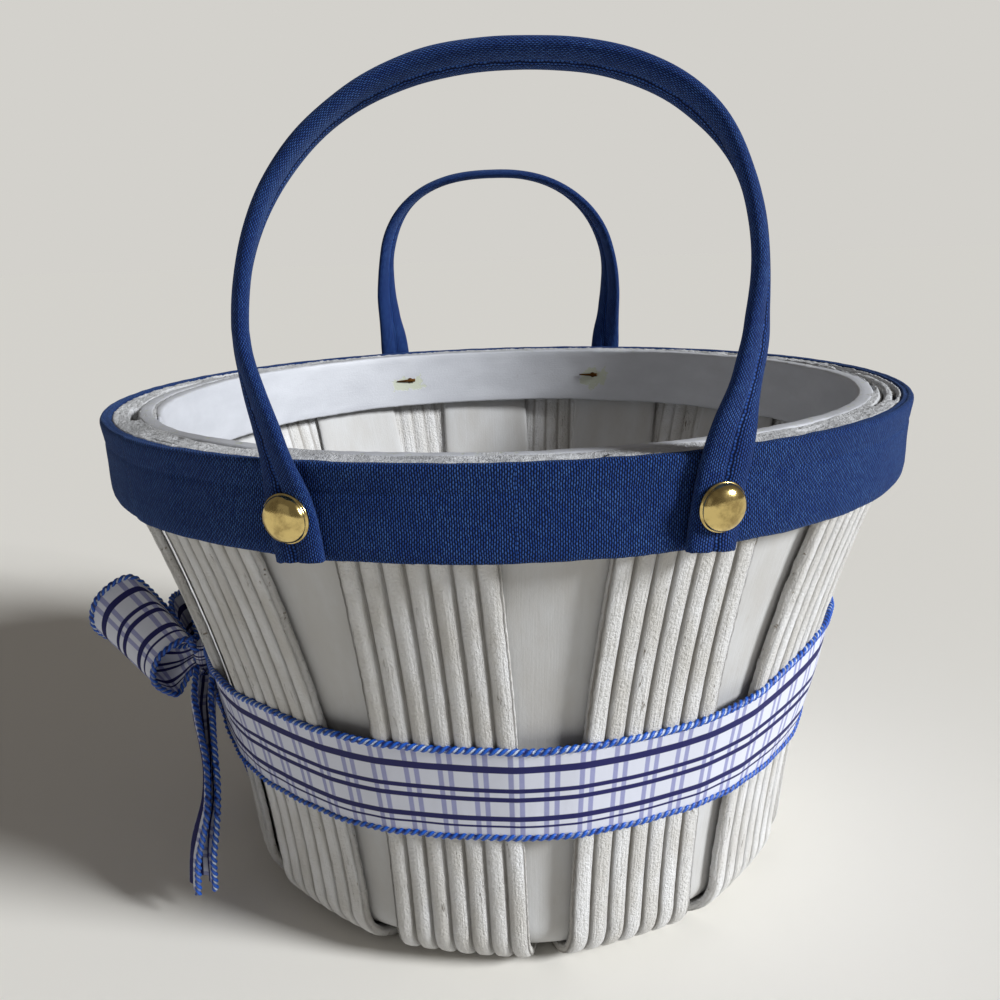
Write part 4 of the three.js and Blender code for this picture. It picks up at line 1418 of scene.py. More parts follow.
    def inner_edge(self, azimuth: float) -> float:
        """Depth of the inner hoop's inner face, over its lap as well.

        Args:
            azimuth: The azimuth, in degrees.

        Returns:
            The depth.
        """
        place = self.lap_start + (azimuth - self.lap_start) % 360
        if place < self.lap_start + self.lap_arc:
            place += 360
        return self.hoop_depth + self.lap_offset(place) + self.lap_thickness(place)

    def crust(self) -> Mesh:
        """Rough paint over the staves' and the hoop's upper ends, split where the layers meet.

        Returns:
            Its mesh, a sheet.
        """
        columns, rows = self.crust_columns, 3 * self.steps

        def depth_at(i: int, j: int) -> float:
            """Depth of a point, from the canvas to the hoop's inner face."""
            return lerp(self.crust_start, self.inner_edge(360 * j / rows) - 0.8, i / columns)

        def over_staves(i: int, j: int) -> float:
            """How rough the paint is: full over the staves' ends, nearly smooth on the hoop."""
            inner = depth_at(columns, j)
            return 1 - 0.85 * ease(depth_at(i, j), inner - 5.4, inner - 4.2)

        def missing(azimuth: float, depth: float) -> float:
            """Finds where a layer has no stave under the paint.

            Args:
                azimuth: The azimuth, in degrees.
                depth: The depth below the rim's outer face.

            Returns:
                1 between two staves and 0 over one.
            """
            stave = self.side.ribbed_azimuth(0) + (0 if depth < self.layer_line else STAVE_PITCH / 2)
            away = self.side.from_stave(azimuth, stave)
            return ease(away, 8.7, 9.6) * ease(depth, 5.2, 5.9) * (1 - ease(depth, 11.2, 11.8))

        def split(i: int, j: int) -> float:
            """How far the paint has sunk: where it parts along a layer and where no stave holds it.

            Args:
                i: The column of the grid.
                j: The row of the grid.

            Returns:
                From 0 to 1.
            """
            azimuth, depth = 360 * j / rows, depth_at(i, j)
            spot = polar(azimuth, 140 - depth, 0)
            away = abs(turn_between(azimuth, self.split_azimuth))
            open_share = lerp(0.15, 1.0, 1 - ease(away, 12.0, 30.0))
            width = 0.28 + 0.3 * open_share
            parted = 0.0
            for k, line in enumerate(self.split_depths):
                strength = ease(ripple(spot, 24.0, 5.0 + 2 * k) + 0.8 * open_share, 0.3, 0.8)
                parted = max(parted, strength * math.exp(-(((depth - line) / width) ** 2)))
            hole = missing(azimuth, depth) * ease(ripple(spot, 30.0, 6.0) + 0.7 * open_share, 0.35, 0.7)
            return max(parted, hole)

        def place(i: int, j: int) -> Vector:
            """A point of the paint.

            Args:
                i: The column of the grid.
                j: The row of the grid.

            Returns:
                The point.
            """
            azimuth, depth = 360 * j / rows, depth_at(i, j)
            spot = polar(azimuth, 140 - depth, 0)
            rough = over_staves(i, j)
            height = self.side.top - 0.15 + 0.25 * ripple(spot, 9.0) + rough * 0.4 * ripple(spot, 1.7, 3.0)
            height -= rough * 0.35 * abs(ripple(spot, 0.9, 7.0))
            drop = self.edge_drop * ease(abs(i / columns - 0.5), 0.44, 0.5)
            sunk = self.split_drop * split(i, j)
            return polar(azimuth, self.side.rim(height) - depth, height - sunk - drop)

        # The groove mark paints the splits and the holes between staves near black: painted shade of their
        # depth.
        marks = {"groove": split, "edge": lambda i, j: 0.7 * over_staves(i, j)}
        return join_ends(wrapped_grid(columns, rows, place, self.crust_flat, marks=marks))

    def build(self) -> None:
        """Builds and dresses the rim."""
        inner = finish_mesh("painted_inner_hoop", self.inner_hoop(), self.hoop_paint.material())
        hand_over(inner, ["inner_hoop"])
        outer = finish_mesh("bare_outer_hoop", self.outer_hoop(), self.wood.material())
        hand_over(outer, ["outer_hoop"])
        cloth = finish_mesh("rim_canvas_band", self.cloth(), self.canvas.material())
        give_thickness(cloth, self.cloth_thickness, -1.0)
        hand_over(cloth, ["rim_cloth"])
        width = self.cloth_profile().length * MM
        crust = finish_mesh("rim_paint_crust", self.crust(), self.crust_paint.material())
        give_thickness(crust, self.crust_thickness, -1.0)
        hand_over(crust)


@dataclass
class Bottom:
    """The bottom board, the base disc and the tacks that clamp the staves between them."""

    board_paint: Paint = Paint(
        "board_paint", srgb(214, 210, 198), srgb(196, 190, 176), srgb(120, 110, 96), streaks=1.0,
        follows_piece=False)
    steel: Metal = Metal("tack_steel", srgb(168, 166, 160), srgb(110, 92, 74), 0.35, 0.6)
    head_radius: float = 2.5
    head_height: float = 0.8
    shank_radius: float = 0.9

    def disc(self, node: str, edge: float) -> Mesh:
        """A round board that fills its node, with its edges eased.

        Args:
            node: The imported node.
            edge: Width of the eased edge.

        Returns:
            Its mesh.
        """
        low, high = (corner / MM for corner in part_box(node))
        mesh = bmesh.new()
        radius = (high.x - low.x) / 2
        bmesh.ops.create_cone(
            mesh, cap_ends=True, segments=160, radius1=radius, radius2=radius, depth=high.z - low.z)
        bmesh.ops.translate(mesh, vec=(0, 0, (low.z + high.z) / 2), verts=mesh.verts)
        rims = [line for line in mesh.edges if abs(line.calc_face_angle(0.0)) > 1.0]
        bmesh.ops.bevel(
            mesh, geom=rims, offset=edge, segments=3, profile=0.5, affect="EDGES", material=-1)
        return mesh

    def tack(self, node: str) -> Mesh:
        """One tack where its node is, with a low domed head.

        Args:
            node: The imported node.

        Returns:
            Its mesh.
        """
        low, high = (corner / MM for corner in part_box(node))
        middle = (low + high) / 2
        seat = high.z - self.head_height
        shank = self.shank_radius
        outline = [
            (0.0, low.z), (shank / 2, low.z + shank), (shank, low.z + 2 * shank), (shank, seat),
            (self.head_radius - 0.1, seat)]
        for i in range(7):
            angle = math.radians(15 * i)
            outline.append((self.head_radius * math.cos(angle), seat + 0.2 + 0.6 * math.sin(angle)))
        mesh = spun(outline, 20)
        bmesh.ops.translate(mesh, vec=(middle.x, middle.y, 0), verts=mesh.verts)
        return mesh

    def build(self) -> None:
        """Builds and dresses the bottom."""
        paint = self.board_paint.material()
        for node, edge in (("bottom_board", 0.8), ("base_disc", 0.6)):
            piece = finish_mesh(f"painted_{node}", self.disc(node, edge), paint)
            piece.data.set_sharp_from_angle(angle=math.radians(30))
            hand_over(piece, [node])
        steel = self.steel.material()
        for i in range(STAVE_PAIRS):
            node = f"base_tack_{i + 1:02d}"
            hand_over(finish_mesh(f"steel_{node}", self.tack(node), steel), [node])


@dataclass(frozen=True)
class Arch:
    """The shape of one handle over its shoulder, left and right as seen from outside."""

    width: float
    rise: float
    skew: float
    squareness: tuple[float, float]
    crown_roll: float
    early_twist: tuple[float, float] = (0.0, 0.0)


FRONT_ARCH = Arch(
    width=119.2, rise=57.0, skew=3.7, squareness=(2.19, 2.48), crown_roll=10.5, early_twist=(14.0, 0.0))
BACK_ARCH = Arch(width=111.0, rise=52.5, skew=-0.8, squareness=(2.18, 2.63), crown_roll=4.4)


@dataclass
class Handle:
    """One strap handle with its domed nails: a strap folded to its middle and sewn there."""

    name: str
    azimuth: float
    side: Side
    arch: Arch
    spread: float = 21.4
    width: float = 14.0
    thickness: float = 4.0
    groove: float = 0.95
    groove_width: float = 0.8
    clearance: float = 0.3
    shoulder: float = 32.0
    swing_height: float = 5.0
    bend: float = 5.0
    overhang: float = 0.4
    nail_drop: float = 13.0
    dome_scale: float = 1.08
    strap_middle: float = 1.9
    nail_seat: float = 3.8
    nail_grip: float = 16.6
    dome_radius: float = 5.6
    dome_base: float = 1.12
    dome_rise: float = 3.1
    dome_steps: int = 14
    clinch_size: Triple = (9.0, 1.6, 0.9)
    arch_steps: int = 90
    lobe_power: int = 4
    rows: int = 300
    columns: int = 48
    canvas: Canvas = Canvas(
        "strap_canvas", srgb(24, 60, 136), srgb(5, 14, 46), srgb(90, 138, 210), column=0.55, row=0.9)
    brass: Metal = Metal("brass", srgb(228, 203, 134), srgb(88, 58, 26), 0.12, 0.5)

    @property
    def swing_radius(self) -> float:
        """Distance of the swing axis from the basket's axis, at the strap's feet."""
        return self.side.rim_radius + self.clearance + self.strap_middle

    def line(self) -> list[tuple[Vector, float]]:
        """Middle line of the strap for azimuth 0.

        Returns:
            Its points, each with -1 or 1 for its leg.
        """
        top = self.side.top
        foot = polar(self.spread, self.swing_radius, top)
        half = self.arch.width / 2
        shoulder = top + self.shoulder
        heights = (
            (-0.13, self.side.hoop_bottom - self.overhang), (0.0, top - self.nail_drop), (0.28, top),
            (0.5, top + 9), (0.76, top + 17.5), (0.96, top + 26), (1.0, shoulder))
        lean = smooth_line([
            Vector((half - (half - foot.x) * (1 - share), 0, height)) for share, height in heights])
        leg = []
        for point in lean.points[:-1]:
            radius = self.side.rim(min(point.z, top)) + self.clearance + self.strap_middle
            tangent = polar(self.spread, radius, point.z) + polar(self.spread + 90, point.x - foot.x, 0.0)
            over = ease(point.z, top - 4, top + 8)
            leg.append(tangent.lerp(Vector((point.x, foot.y, point.z)), over))
        arch = []
        crown = self.arch_steps // 2
        for i in range(self.arch_steps + 1):
            angle = math.radians(180 - 180 / self.arch_steps * i)
            power = 2 / self.arch.squareness[0 if i < crown else 1]
            lift = max(math.sin(angle), 0.0) ** power
            x = half * math.copysign(abs(math.cos(angle)) ** power, math.cos(angle))
            arch.append(Vector((x + self.arch.skew * lift, foot.y, shoulder + self.arch.rise * lift)))
        left = [(Vector((-p.x, p.y, p.z)), -1.0) for p in leg]
        over = [(p, -1.0 if i < crown else 1.0) for i, p in enumerate(arch)]
        return left + over + [(p, 1.0) for p in reversed(leg)]

    def across(self, height: float, leg: float) -> Vector:
        """Width direction of the strap, which turns as it leaves the rim.

        Args:
            height: The height of the place.
            leg: -1 for the left leg and 1 for the right.

        Returns:
            The direction, level.
        """
        over = height - self.side.top + self.arch.early_twist[0 if leg < 0 else 1]
        turn = 0.45 * ease(over, -1.0, 19.0) + 0.32 * ease(over, 15.0, 49.0) + 0.23 * ease(over, 52.0, 89.0)
        spread = math.radians(self.spread)
        foot = -spread if leg < 0 else spread - math.pi
        angle = lerp(foot, -math.pi / 2, turn)
        return Vector((math.cos(angle), math.sin(angle), 0.0))

    def strap_section(self) -> list[tuple[float, float]]:
        """Section across the strap: two full lobes with a sewn groove between them on each face.

        Returns:
            Its (across, through) points once round.
        """
        section = []
        half_width = self.width / 2
        steps = self.columns // 2
        for face in (-1, 1):
            for i in range(steps):
                share = math.sin((i / steps - 0.5) * math.pi)
                full = self.thickness / 2 * (1 - abs(share) ** self.lobe_power) ** 0.5
                seam = self.groove * math.exp(-((share * half_width / self.groove_width) ** 2))
                section.append((-face * share * half_width, face * (full - seam)))
        return section

    def strap(self) -> Mesh:
        """The whole strap, from one nailed end over the arch to the other.

        Returns:
            Its mesh.
        """
        line = self.line()
        path = Path([point for point, _ in line])
        middle = path.distances[len(line) // 2] / path.length
        section = self.strap_section()
        turned = Matrix.Rotation(math.radians(self.azimuth), 3, "Z")
        stations = []
        for j in range(self.rows + 1):
            share = j / self.rows
            point, run = path.at(share), path.run(share)
            across = self.across(point.z, -1.0 if share < middle else 1.0)
            through = across.cross(run).normalized()
            across = run.cross(through)
            rolled = ease(point.x, -45.0, -10.0) * ease(point.z - self.side.top, 62.0, 78.0)
            roll = math.radians(self.arch.crown_roll) * rolled
            across, through = (
                across * math.cos(roll) + through * math.sin(roll),
                through * math.cos(roll) - across * math.sin(roll))
            stations.append((point, across, through))

        def place(i: int, j: int) -> Vector:
            """A point of the strap, a little soft and frayed at its cut ends.

            Args:
                i: The column of the grid.
                j: The row of the grid.

            Returns:
                The point.
            """
            u, v = section[i % len(section)]
            point, across, through = stations[j]
            spot = Vector((u, 3 * v, j / self.rows * path.length))
            swell = 1 + 0.03 * ripple(spot, 10.0, 1.0)
            fray = 0.35 * ripple(spot, 1.1, 5.0) if j in (0, self.rows) else 0.0
            at = point + across * (u * swell + 0.2 * ripple(spot, 16.0, 2.0)) + through * v * swell
            return turned @ (at + UP * fray)

        def edge_mark(i: int, j: int) -> float:
            """How worn the canvas is: most at its cut ends."""
            return 0.15 + 0.6 * (1 - ease(min(j, self.rows - j), 0, 3))

        flat = (2.2 * self.width, path.length)
        return wrapped_grid(len(section), self.rows, place, flat, closed=True, marks={"edge": edge_mark})

    def to_nail(self, mesh: Mesh, side: float) -> Mesh:
        """Moves what is built about +Z, with its seat at the origin, to a nail's place.

        Args:
            mesh: What is built.
            side: -1 for the left nail and 1 for the right.

        Returns:
            The same mesh.
        """
        height = self.side.top - self.nail_drop
        lean = math.atan(self.side.rim_lean / (self.side.top - self.side.hoop_bottom))
        seat = self.side.rim(height) + self.clearance + self.nail_seat
        foot = self.azimuth + side * self.spread
        move = (
            Matrix.Rotation(math.radians(foot), 4, "Z")
            @ Matrix.Translation((0, -seat, height))
            @ Matrix.Rotation(math.pi / 2 + lean, 4, "X"))
        bmesh.ops.transform(mesh, matrix=move, verts=mesh.verts)
        return mesh

    def nail(self, side: float) -> Mesh:
        """A domed nail with a rolled lip, its point clinched over inside the rim.

        Args:
            side: -1 for the left nail and 1 for the right.

        Returns:
            Its mesh.
        """
        inside = -(self.nail_grip + self.nail_seat + 2 * self.clearance)
        outline = [
            (0.0, inside - 0.2), (1.1, inside - 0.1), (1.2, 0.2), (5.0, 0.25), (5.6, 0.28), (5.9, 0.4),
            (6.0, 0.62), (5.98, 0.82), (5.86, 0.95), (5.72, 1.02), (5.62, 1.12)]
        for i in range(1, self.dome_steps + 1):
            angle = math.radians(90 * i / self.dome_steps)
            radius = self.dome_radius * math.cos(angle) ** 0.9 if i < self.dome_steps else 0.0
            outline.append((radius, self.dome_base + self.dome_rise * math.sin(angle)))
        mesh = spun([(radius * self.dome_scale, height) for radius, height in outline], 64)
        leg = bmesh.ops.create_cube(mesh, size=1.0)["verts"]
        bmesh.ops.scale(mesh, vec=self.clinch_size, verts=leg)
        for vertex in leg:
            if vertex.co.x > 0:
                vertex.co.y *= 0.35
                vertex.co.z = vertex.co.z * 0.5 + 0.25
        bmesh.ops.translate(mesh, vec=(2.2, 0, inside - 0.45), verts=leg)
        edges = list({edge for vertex in leg for edge in vertex.link_edges})
        bmesh.ops.bevel(mesh, geom=edges, offset=0.25, segments=2, profile=0.5, affect="EDGES", material=-1)
        dull = mesh.verts.layers.float.new("dull")
        for vertex in mesh.verts:
            vertex[dull] = float(vertex.co.z < -1.0)
        return self.to_nail(mesh, side)

    def build(self) -> None:
        """Builds and dresses the handle."""
        strap = finish_mesh(f"{self.name}_strap", self.strap(), self.canvas.material())
        nodes = [f"{self.name}_handle", f"{self.name}_left_tab", f"{self.name}_right_tab"]
        hand_over(strap, nodes, body=None)
        middle = polar(self.azimuth, self.swing_radius, self.side.top + self.swing_height)
        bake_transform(strap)
        brass = self.brass.material()
        for side, word in ((-1, "left"), (1, "right")):
            node = f"{self.name}_{word}_nail"
            hand_over(finish_mesh(f"brass_{node}", self.nail(side), brass), [node])


@dataclass(frozen=True)
class Loop:
    """One loop of the bow, as directions out, towards the front and up at the knot."""

    leaves: Triple
    middle: tuple[Triple, ...]
    returns: Triple
    across: Triple
    near_share: float


@dataclass(frozen=True)
class Tail:
    """One tail of the bow, as the places it passes and its half widths and depths along it."""

    places: tuple[Triple, ...]
    half_widths: Triple
    depths: Triple


FRONT_LOOP = Loop(
    leaves=(0.55, 0.35, 0.75),
    middle=(
        (6, -2, 9), (11.5, -2.5, 15.5), (22, -0.5, 11.5), (24.5, -1, 2.5), (17, -3.5, -4.5),
        (7, -3, -3.5)),
    returns=(0.9, -0.3, -0.3),
    across=(0.62, -0.48, 0.62),
    near_share=0.85,
)
BACK_LOOP = Loop(
    leaves=(0.4, -0.9, 0.1),
    middle=((4, -6, 0.5), (5.5, -14, 1), (3.5, -23, 1), (-0.5, -27, 0.5), (-1.5, -22, 0), (0.5, -12.5, 0)),
    returns=(0.15, -1, 0.05),
    across=(0.3, 0.1, 0.95),
    near_share=1.0,
)
FRONT_TAIL = Tail(
    places=(
        (-114.2, -26.2, 74.0), (-112.4, -38.0, 66.5), (-107.2, -54.0, 53.2), (-105.8, -62.0, 41.0),
        (-109.0, -66.0, 25.0), (-110.0, -67.0, 12.0)),
    half_widths=(3.0, 1.5, 2.9),
    depths=(5.0, 7.5, 10.0),
)
BACK_TAIL = Tail(
    places=((-115.8, -19.9, 72.8), (-112.7, -10.7, 56.2), (-109.7, -1.4, 35.0), (-107.2, 7.5, 11.5)),
    half_widths=(1.6, 2.0, 2.2),
    depths=(6.0, 8.0, 8.5),
)


@dataclass
class Ribbon:
    """The ribbon round the basket and its bow: every part is one sheet with two corded edges."""

    side: Side
    width: float = 31.0
    thickness: float = 0.35
    front_height: float = 70.4
    back_height: float = 86.0
    high_azimuth: float = 140.0
    level_arc: float = 20.0
    fall_arc: float = 105.0
    knot_azimuth: float = -79.0
    knot_height: float = 79.0
    knot_size: Triple = (9.0, 6.0, 11.0)
    knot_pattern: float = 9.0
    knot_gap: float = 0.7
    pull_arc: float = 9.0
    gathered: float = 9.0
    pleats: int = 3
    pleat_depth: float = 1.6
    # Where the ribbon leans off the ribs it shows wider: by what share, at which azimuth, over what arc.
    leaning: tuple[Triple, Triple] = ((0.3, 60.0, 20.0), (0.06, -42.0, 26.0))
    bulge: float = 1.6
    bulge_azimuth: float = 58.0
    bulge_arc: float = 16.0
    bridge: float = 1.4
    bridge_azimuth: float = -68.0
    bridge_arc: float = 5.0
    tightest: float = -0.05
    fan: float = 22.0
    cord_radius: float = 1.15
    cord_pitch: float = 2.4
    cord_step: float = 0.45
    cord_columns: int = 12
    cord_strands: int = 2
    cord_core: float = 0.84
    cord_swell: float = 0.22
    band_cells: tuple[int, int] = (22, 700)
    loop_cells: tuple[int, int] = (28, 160)
    tail_cells: tuple[int, int] = (48, 120)
    band_girth_radius: float = 112.0
    loop_length: float = 62.0
    front_tail_length: float = 80.0
    back_tail_length: float = 69.0
    fold_share: float = 0.42
    satin: CheckedSatin = CheckedSatin("checked_satin")
    thread: EdgeThread = EdgeThread("edge_thread")
    finishes: dict[str, bpy.types.Material] = field(default_factory=dict)

    @property
    def knot(self) -> Vector:
        """Middle of the knot."""
        low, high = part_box("bow_knot")
        return (low + high) / 2 / MM

    def at_knot(self, way: Sequence[float]) -> Vector:
        """A direction given as outwards, towards the front and up at the knot."""
        outwards, forwards, upwards = way
        return polar(self.knot_azimuth, outwards, upwards) + polar(self.knot_azimuth + 90, forwards, 0.0)

    def from_knot(self, way: Sequence[float], distance: float) -> Vector:
        """A place that lies in a way from the knot's surface.

        Args:
            way: The direction, as outwards, towards the front and up.
            distance: How far out from the surface.

        Returns:
            The place.
        """
        length, thickness, width = self.knot_size
        outwards, forwards, upwards = way
        across = math.hypot(outwards / thickness, forwards / length, upwards / width)
        reach = math.hypot(*way) / (2 * across)
        return self.knot + self.at_knot(way).normalized() * (reach + distance)

    def cord(self, line: Path) -> Mesh:
        """Thread wrapped along an edge of the ribbon, thick and thin with its turns.

        Args:
            line: The ribbon's edge.

        Returns:
            Its mesh, with its turns kept as the mark twist.
        """
        columns = self.cord_columns
        rows = max(columns, round(line.length / self.cord_step))
        stations = line.stations(rows)

        def turn(i: int, j: int) -> float:
            """Where a point lies on its turn of thread."""
            around = self.cord_strands * math.tau * i / columns
            return math.cos(around + math.tau * j / rows * line.length / self.cord_pitch)

        def place(i: int, j: int) -> Vector:
            """A point of the cord.

            Args:
                i: The column of the grid.
                j: The row of the grid.

            Returns:
                The point.
            """
            point, side, up = stations[j]
            radius = self.cord_radius * (self.cord_core + self.cord_swell * turn(i, j))
            angle = math.tau * i / columns
            return point + (side * math.cos(angle) + up * math.sin(angle)) * radius

        flat = (math.tau * self.cord_radius, line.length)
        return wrapped_grid(columns, rows, place, flat, closed=True, marks={"twist": turn})

    def add_sheet(
        self,
        name: str,
        place: Callable[[float, float], Vector],
        cells: tuple[int, int],
        flat: tuple[float, float],
        first_repeat: float = 0.0,
    ) -> None:
        """Builds one stretch of ribbon with its two corded edges.

        Args:
            name: The node it stands for.
            place: Gives the point at a share across, from the top edge, and a share along.
            cells: Quads across and along.
            flat: Width and length of the flat ribbon.
            first_repeat: Where along the pattern it begins, in millimetres.
        """
        columns, rows = cells
        mesh = wrapped_grid(columns, rows, lambda i, j: place(i / columns, j / rows), flat)
        shift_pattern(mesh, first_repeat)
        sheet = finish_mesh(f"satin_{name}", mesh, self.finishes["satin"])
        give_thickness(sheet, self.thickness)
        hand_over(sheet, [name])
        for share, word in ((0.0, "upper"), (1.0, "lower")):
            line = Path([place(share, j / rows) for j in range(rows + 1)])
            cord = finish_mesh(f"{word}_cord_of_{name}", self.cord(line), self.finishes[f"{word}_thread"])
            hand_over(cord)

    def pull(self, azimuth: float) -> float:
        """How far the knot gathers the ribbon at an azimuth, from 0 to 1."""
        return near(azimuth, self.knot_azimuth, self.pull_arc)

    def band_height(self, azimuth: float) -> float:
        """Height of the ribbon's middle line.

        Args:
            azimuth: The azimuth, in degrees.

        Returns:
            The height.
        """
        away = abs(turn_between(azimuth, self.high_azimuth))
        fallen = ease(away, self.level_arc, self.level_arc + self.fall_arc)
        free = lerp(self.back_height, self.front_height, fallen)
        return lerp(free, self.knot_height, self.pull(azimuth))

    def band_half(self, azimuth: float) -> float:
        """Half the ribbon's width, more where it leans off the ribs.

        Args:
            azimuth: The azimuth, in degrees.

        Returns:
            The distance.
        """
        right, left = (share * near(azimuth, middle, arc) for share, middle, arc in self.leaning)
        half = self.width / 2 * (1 + right + left)
        return lerp(half, self.gathered / 2, self.pull(azimuth))

    def band_place(self, across: float, along: float) -> Vector:
        """The ribbon round the basket, lying on the ribs and pleated near the knot.

        Args:
            across: The share across, from 0 at the first edge to 1.
            along: The share along, from 0 to 1.

        Returns:
            The point.
        """
        azimuth = self.knot_azimuth + lerp(0.3, 359.7, along)
        pull = self.pull(azimuth)
        share = 1 - 2 * across
        height = self.band_height(azimuth) + share * self.band_half(azimuth)
        radius = self.side.face(height) + self.side.standing_out(azimuth, height, 20.0, 0.5)
        pleat = self.pleat_depth * pull * (0.5 + 0.5 * math.sin(math.tau * self.pleats * across))
        bulge = self.bulge * near(azimuth, self.bulge_azimuth, self.bulge_arc) * (1 - share * share)
        spot = polar(azimuth, 110, height)
        edge = abs(share) ** 3
        slack = 0.12 * ripple(spot, 14.0) + 0.3 * edge * ripple(spot, 9.0, 4.0)
        height += 0.45 * edge * ripple(polar(azimuth, 110, 0), 11.0, 7.0 + across)
        bridge = self.bridge * ease(-share, 0.0, 1.0) * near(azimuth, self.bridge_azimuth, self.bridge_arc)
        out = radius + self.thickness + pleat + bulge + bridge + max(slack, self.tightest)
        return polar(azimuth, out, height)

    def add_loop(self, name: str, loop: Loop) -> None:
        """Builds one loop: the ribbon runs out from the knot, turns over and comes back.

        Args:
            name: The node it stands for.
            loop: Its shape.
        """
        gap = self.knot_gap
        bends = [self.from_knot(way, gap + math.hypot(*way)) for way in loop.middle]
        line = smooth_line([self.from_knot(loop.leaves, gap), *bends, self.from_knot(loop.returns, gap)])
        wide = self.at_knot(loop.across).normalized()

        def place(across: float, along: float) -> Vector:
            """A point of the loop, gathered at the knot and fanned out away from it.

            Args:
                across: The share across, from 0 at the first edge to 1.
                along: The share along, from 0 to 1.

            Returns:
                The point.
            """
            fanned = ease(min(along, 1 - along) * line.length, 0.0, self.fan)
            away = self.at_knot(loop.leaves if along < 0.5 else loop.returns).normalized()
            flat = (wide - away * wide.dot(away)).normalized()
            way = flat.lerp(wide, fanned).normalized()
            through = line.run(along).cross(way).normalized()
            share = 1 - 2 * across
            half = lerp(self.gathered, self.width, fanned) / 2
            spread = lerp(1.0, loop.near_share, max(-share, 0.0) * fanned)
            middle = line.middle.lerp(line.at(along), spread)
            pleat = 0.5 * (1 - fanned) * math.sin(math.tau * 2 * across)
            cup = 0.9 * fanned * (0.4 - share * share)
            spot = middle + way * share * half
            return spot + through * (pleat + cup + 0.35 * ripple(spot, 12.0, 3.0))

        flat = (self.width, self.loop_length)
        self.add_sheet(name, place, self.loop_cells, flat, 4.0)

    def add_tail(self, name: str, tail: Tail, length: float) -> None:
        """Builds one tail, folded along its middle with both edges towards the front.

        Args:
            name: The node it stands for.
            tail: Its shape.
            length: Length of the flat ribbon.
        """
        line = smooth_line([Vector(point) for point in tail.places])

        def along_three(values: Triple, along: float) -> float:
            """Goes smoothly through three values.

            Args:
                values: The values at the knot, at the middle and at the end.
                along: The share along the tail.

            Returns:
                The value there.
            """
            first, second, last = values
            if along < 0.5:
                return lerp(first, second, ease(along, 0.1, 0.5))
            return lerp(second, last, ease(along, 0.5, 1))

        def place(across: float, along: float) -> Vector:
            """A point of the tail: a fold at the back with a pleated leg on each side.

            Args:
                across: The share across, from 0 at the first edge to 1.
                along: The share along, from 0 to 1.

            Returns:
                The point.
            """
            point, run = line.at(along), line.run(along)
            outwards = Vector((point.x, point.y, 0.0)).normalized()
            front = outwards.cross(run).normalized()
            if front.y > 0:
                front.negate()
            aside = run.cross(front).normalized()
            half, depth = along_three(tail.half_widths, along), along_three(tail.depths, along)
            share = 2 * across - 1
            bent = min(abs(share) / self.fold_share, 1.0)
            leg = max(abs(share) - self.fold_share, 0.0) / (1 - self.fold_share)
            pleat = 0.42 * half * math.sin(2 * math.tau * leg) * (1 - 0.6 * ease(along, 0.5, 1.0))
            x = math.copysign(half * math.sin(math.pi / 2 * bent) + pleat, share)
            y = depth * (leg - 0.5) - 0.35 * half * math.cos(math.pi / 2 * bent)
            return point + aside * (x + 0.3 * ripple(point, 10.0, share)) + front * y

        self.add_sheet(name, place, self.tail_cells, (self.width, length), 2.0)

    def build(self) -> None:
        """Builds and dresses the ribbon and the bow."""
        self.finishes = {
            "satin": self.satin.material(),
            "upper_thread": self.thread.material(),
            # The lower cord is a darker copy of the same thread, with less white: painted shade on the lower
            # edge.
            "lower_thread": replace(self.thread, name="shaded_lower_edge_thread", white_share=0.35).material(),
        }
        girth = math.tau * self.band_girth_radius
        self.add_sheet(
            "ribbon_band", self.band_place, self.band_cells, (self.width, girth))
        self.add_knot()
        self.add_loop("front_bow_loop", FRONT_LOOP)
        self.add_loop("back_bow_loop", BACK_LOOP)
        self.add_tail("front_bow_tail", FRONT_TAIL, self.front_tail_length)
        self.add_tail("back_bow_tail", BACK_TAIL, self.back_tail_length)

    def add_knot(self) -> None:
        """Builds the knot, a bead of ribbon with folds running over it."""
        mesh = bmesh.new()
        bmesh.ops.create_uvsphere(mesh, u_segments=48, v_segments=28, radius=1.0)
        uv = mesh.loops.layers.uv.new("UVMap")
        for face in mesh.faces:
            for loop in face.loops:
                x, y, z = loop.vert.co
                loop[uv].uv = ((z * 0.5 + 0.5) * self.width, self.knot_pattern * math.atan2(x, -y))
        for vertex in mesh.verts:
            vertex.co *= 1 + 0.06 * math.sin(7 * vertex.co.z + 1.5 * vertex.co.x)
        bmesh.ops.scale(mesh, vec=Vector(self.knot_size) / 2, verts=mesh.verts)
        turned = Matrix.Rotation(math.radians(self.knot_azimuth), 3, "Z")
        bmesh.ops.rotate(mesh, matrix=turned, verts=mesh.verts)
        bmesh.ops.translate(mesh, vec=self.knot, verts=mesh.verts)
        hand_over(finish_mesh("satin_bow_knot", mesh, self.finishes["satin"]), ["bow_knot"])


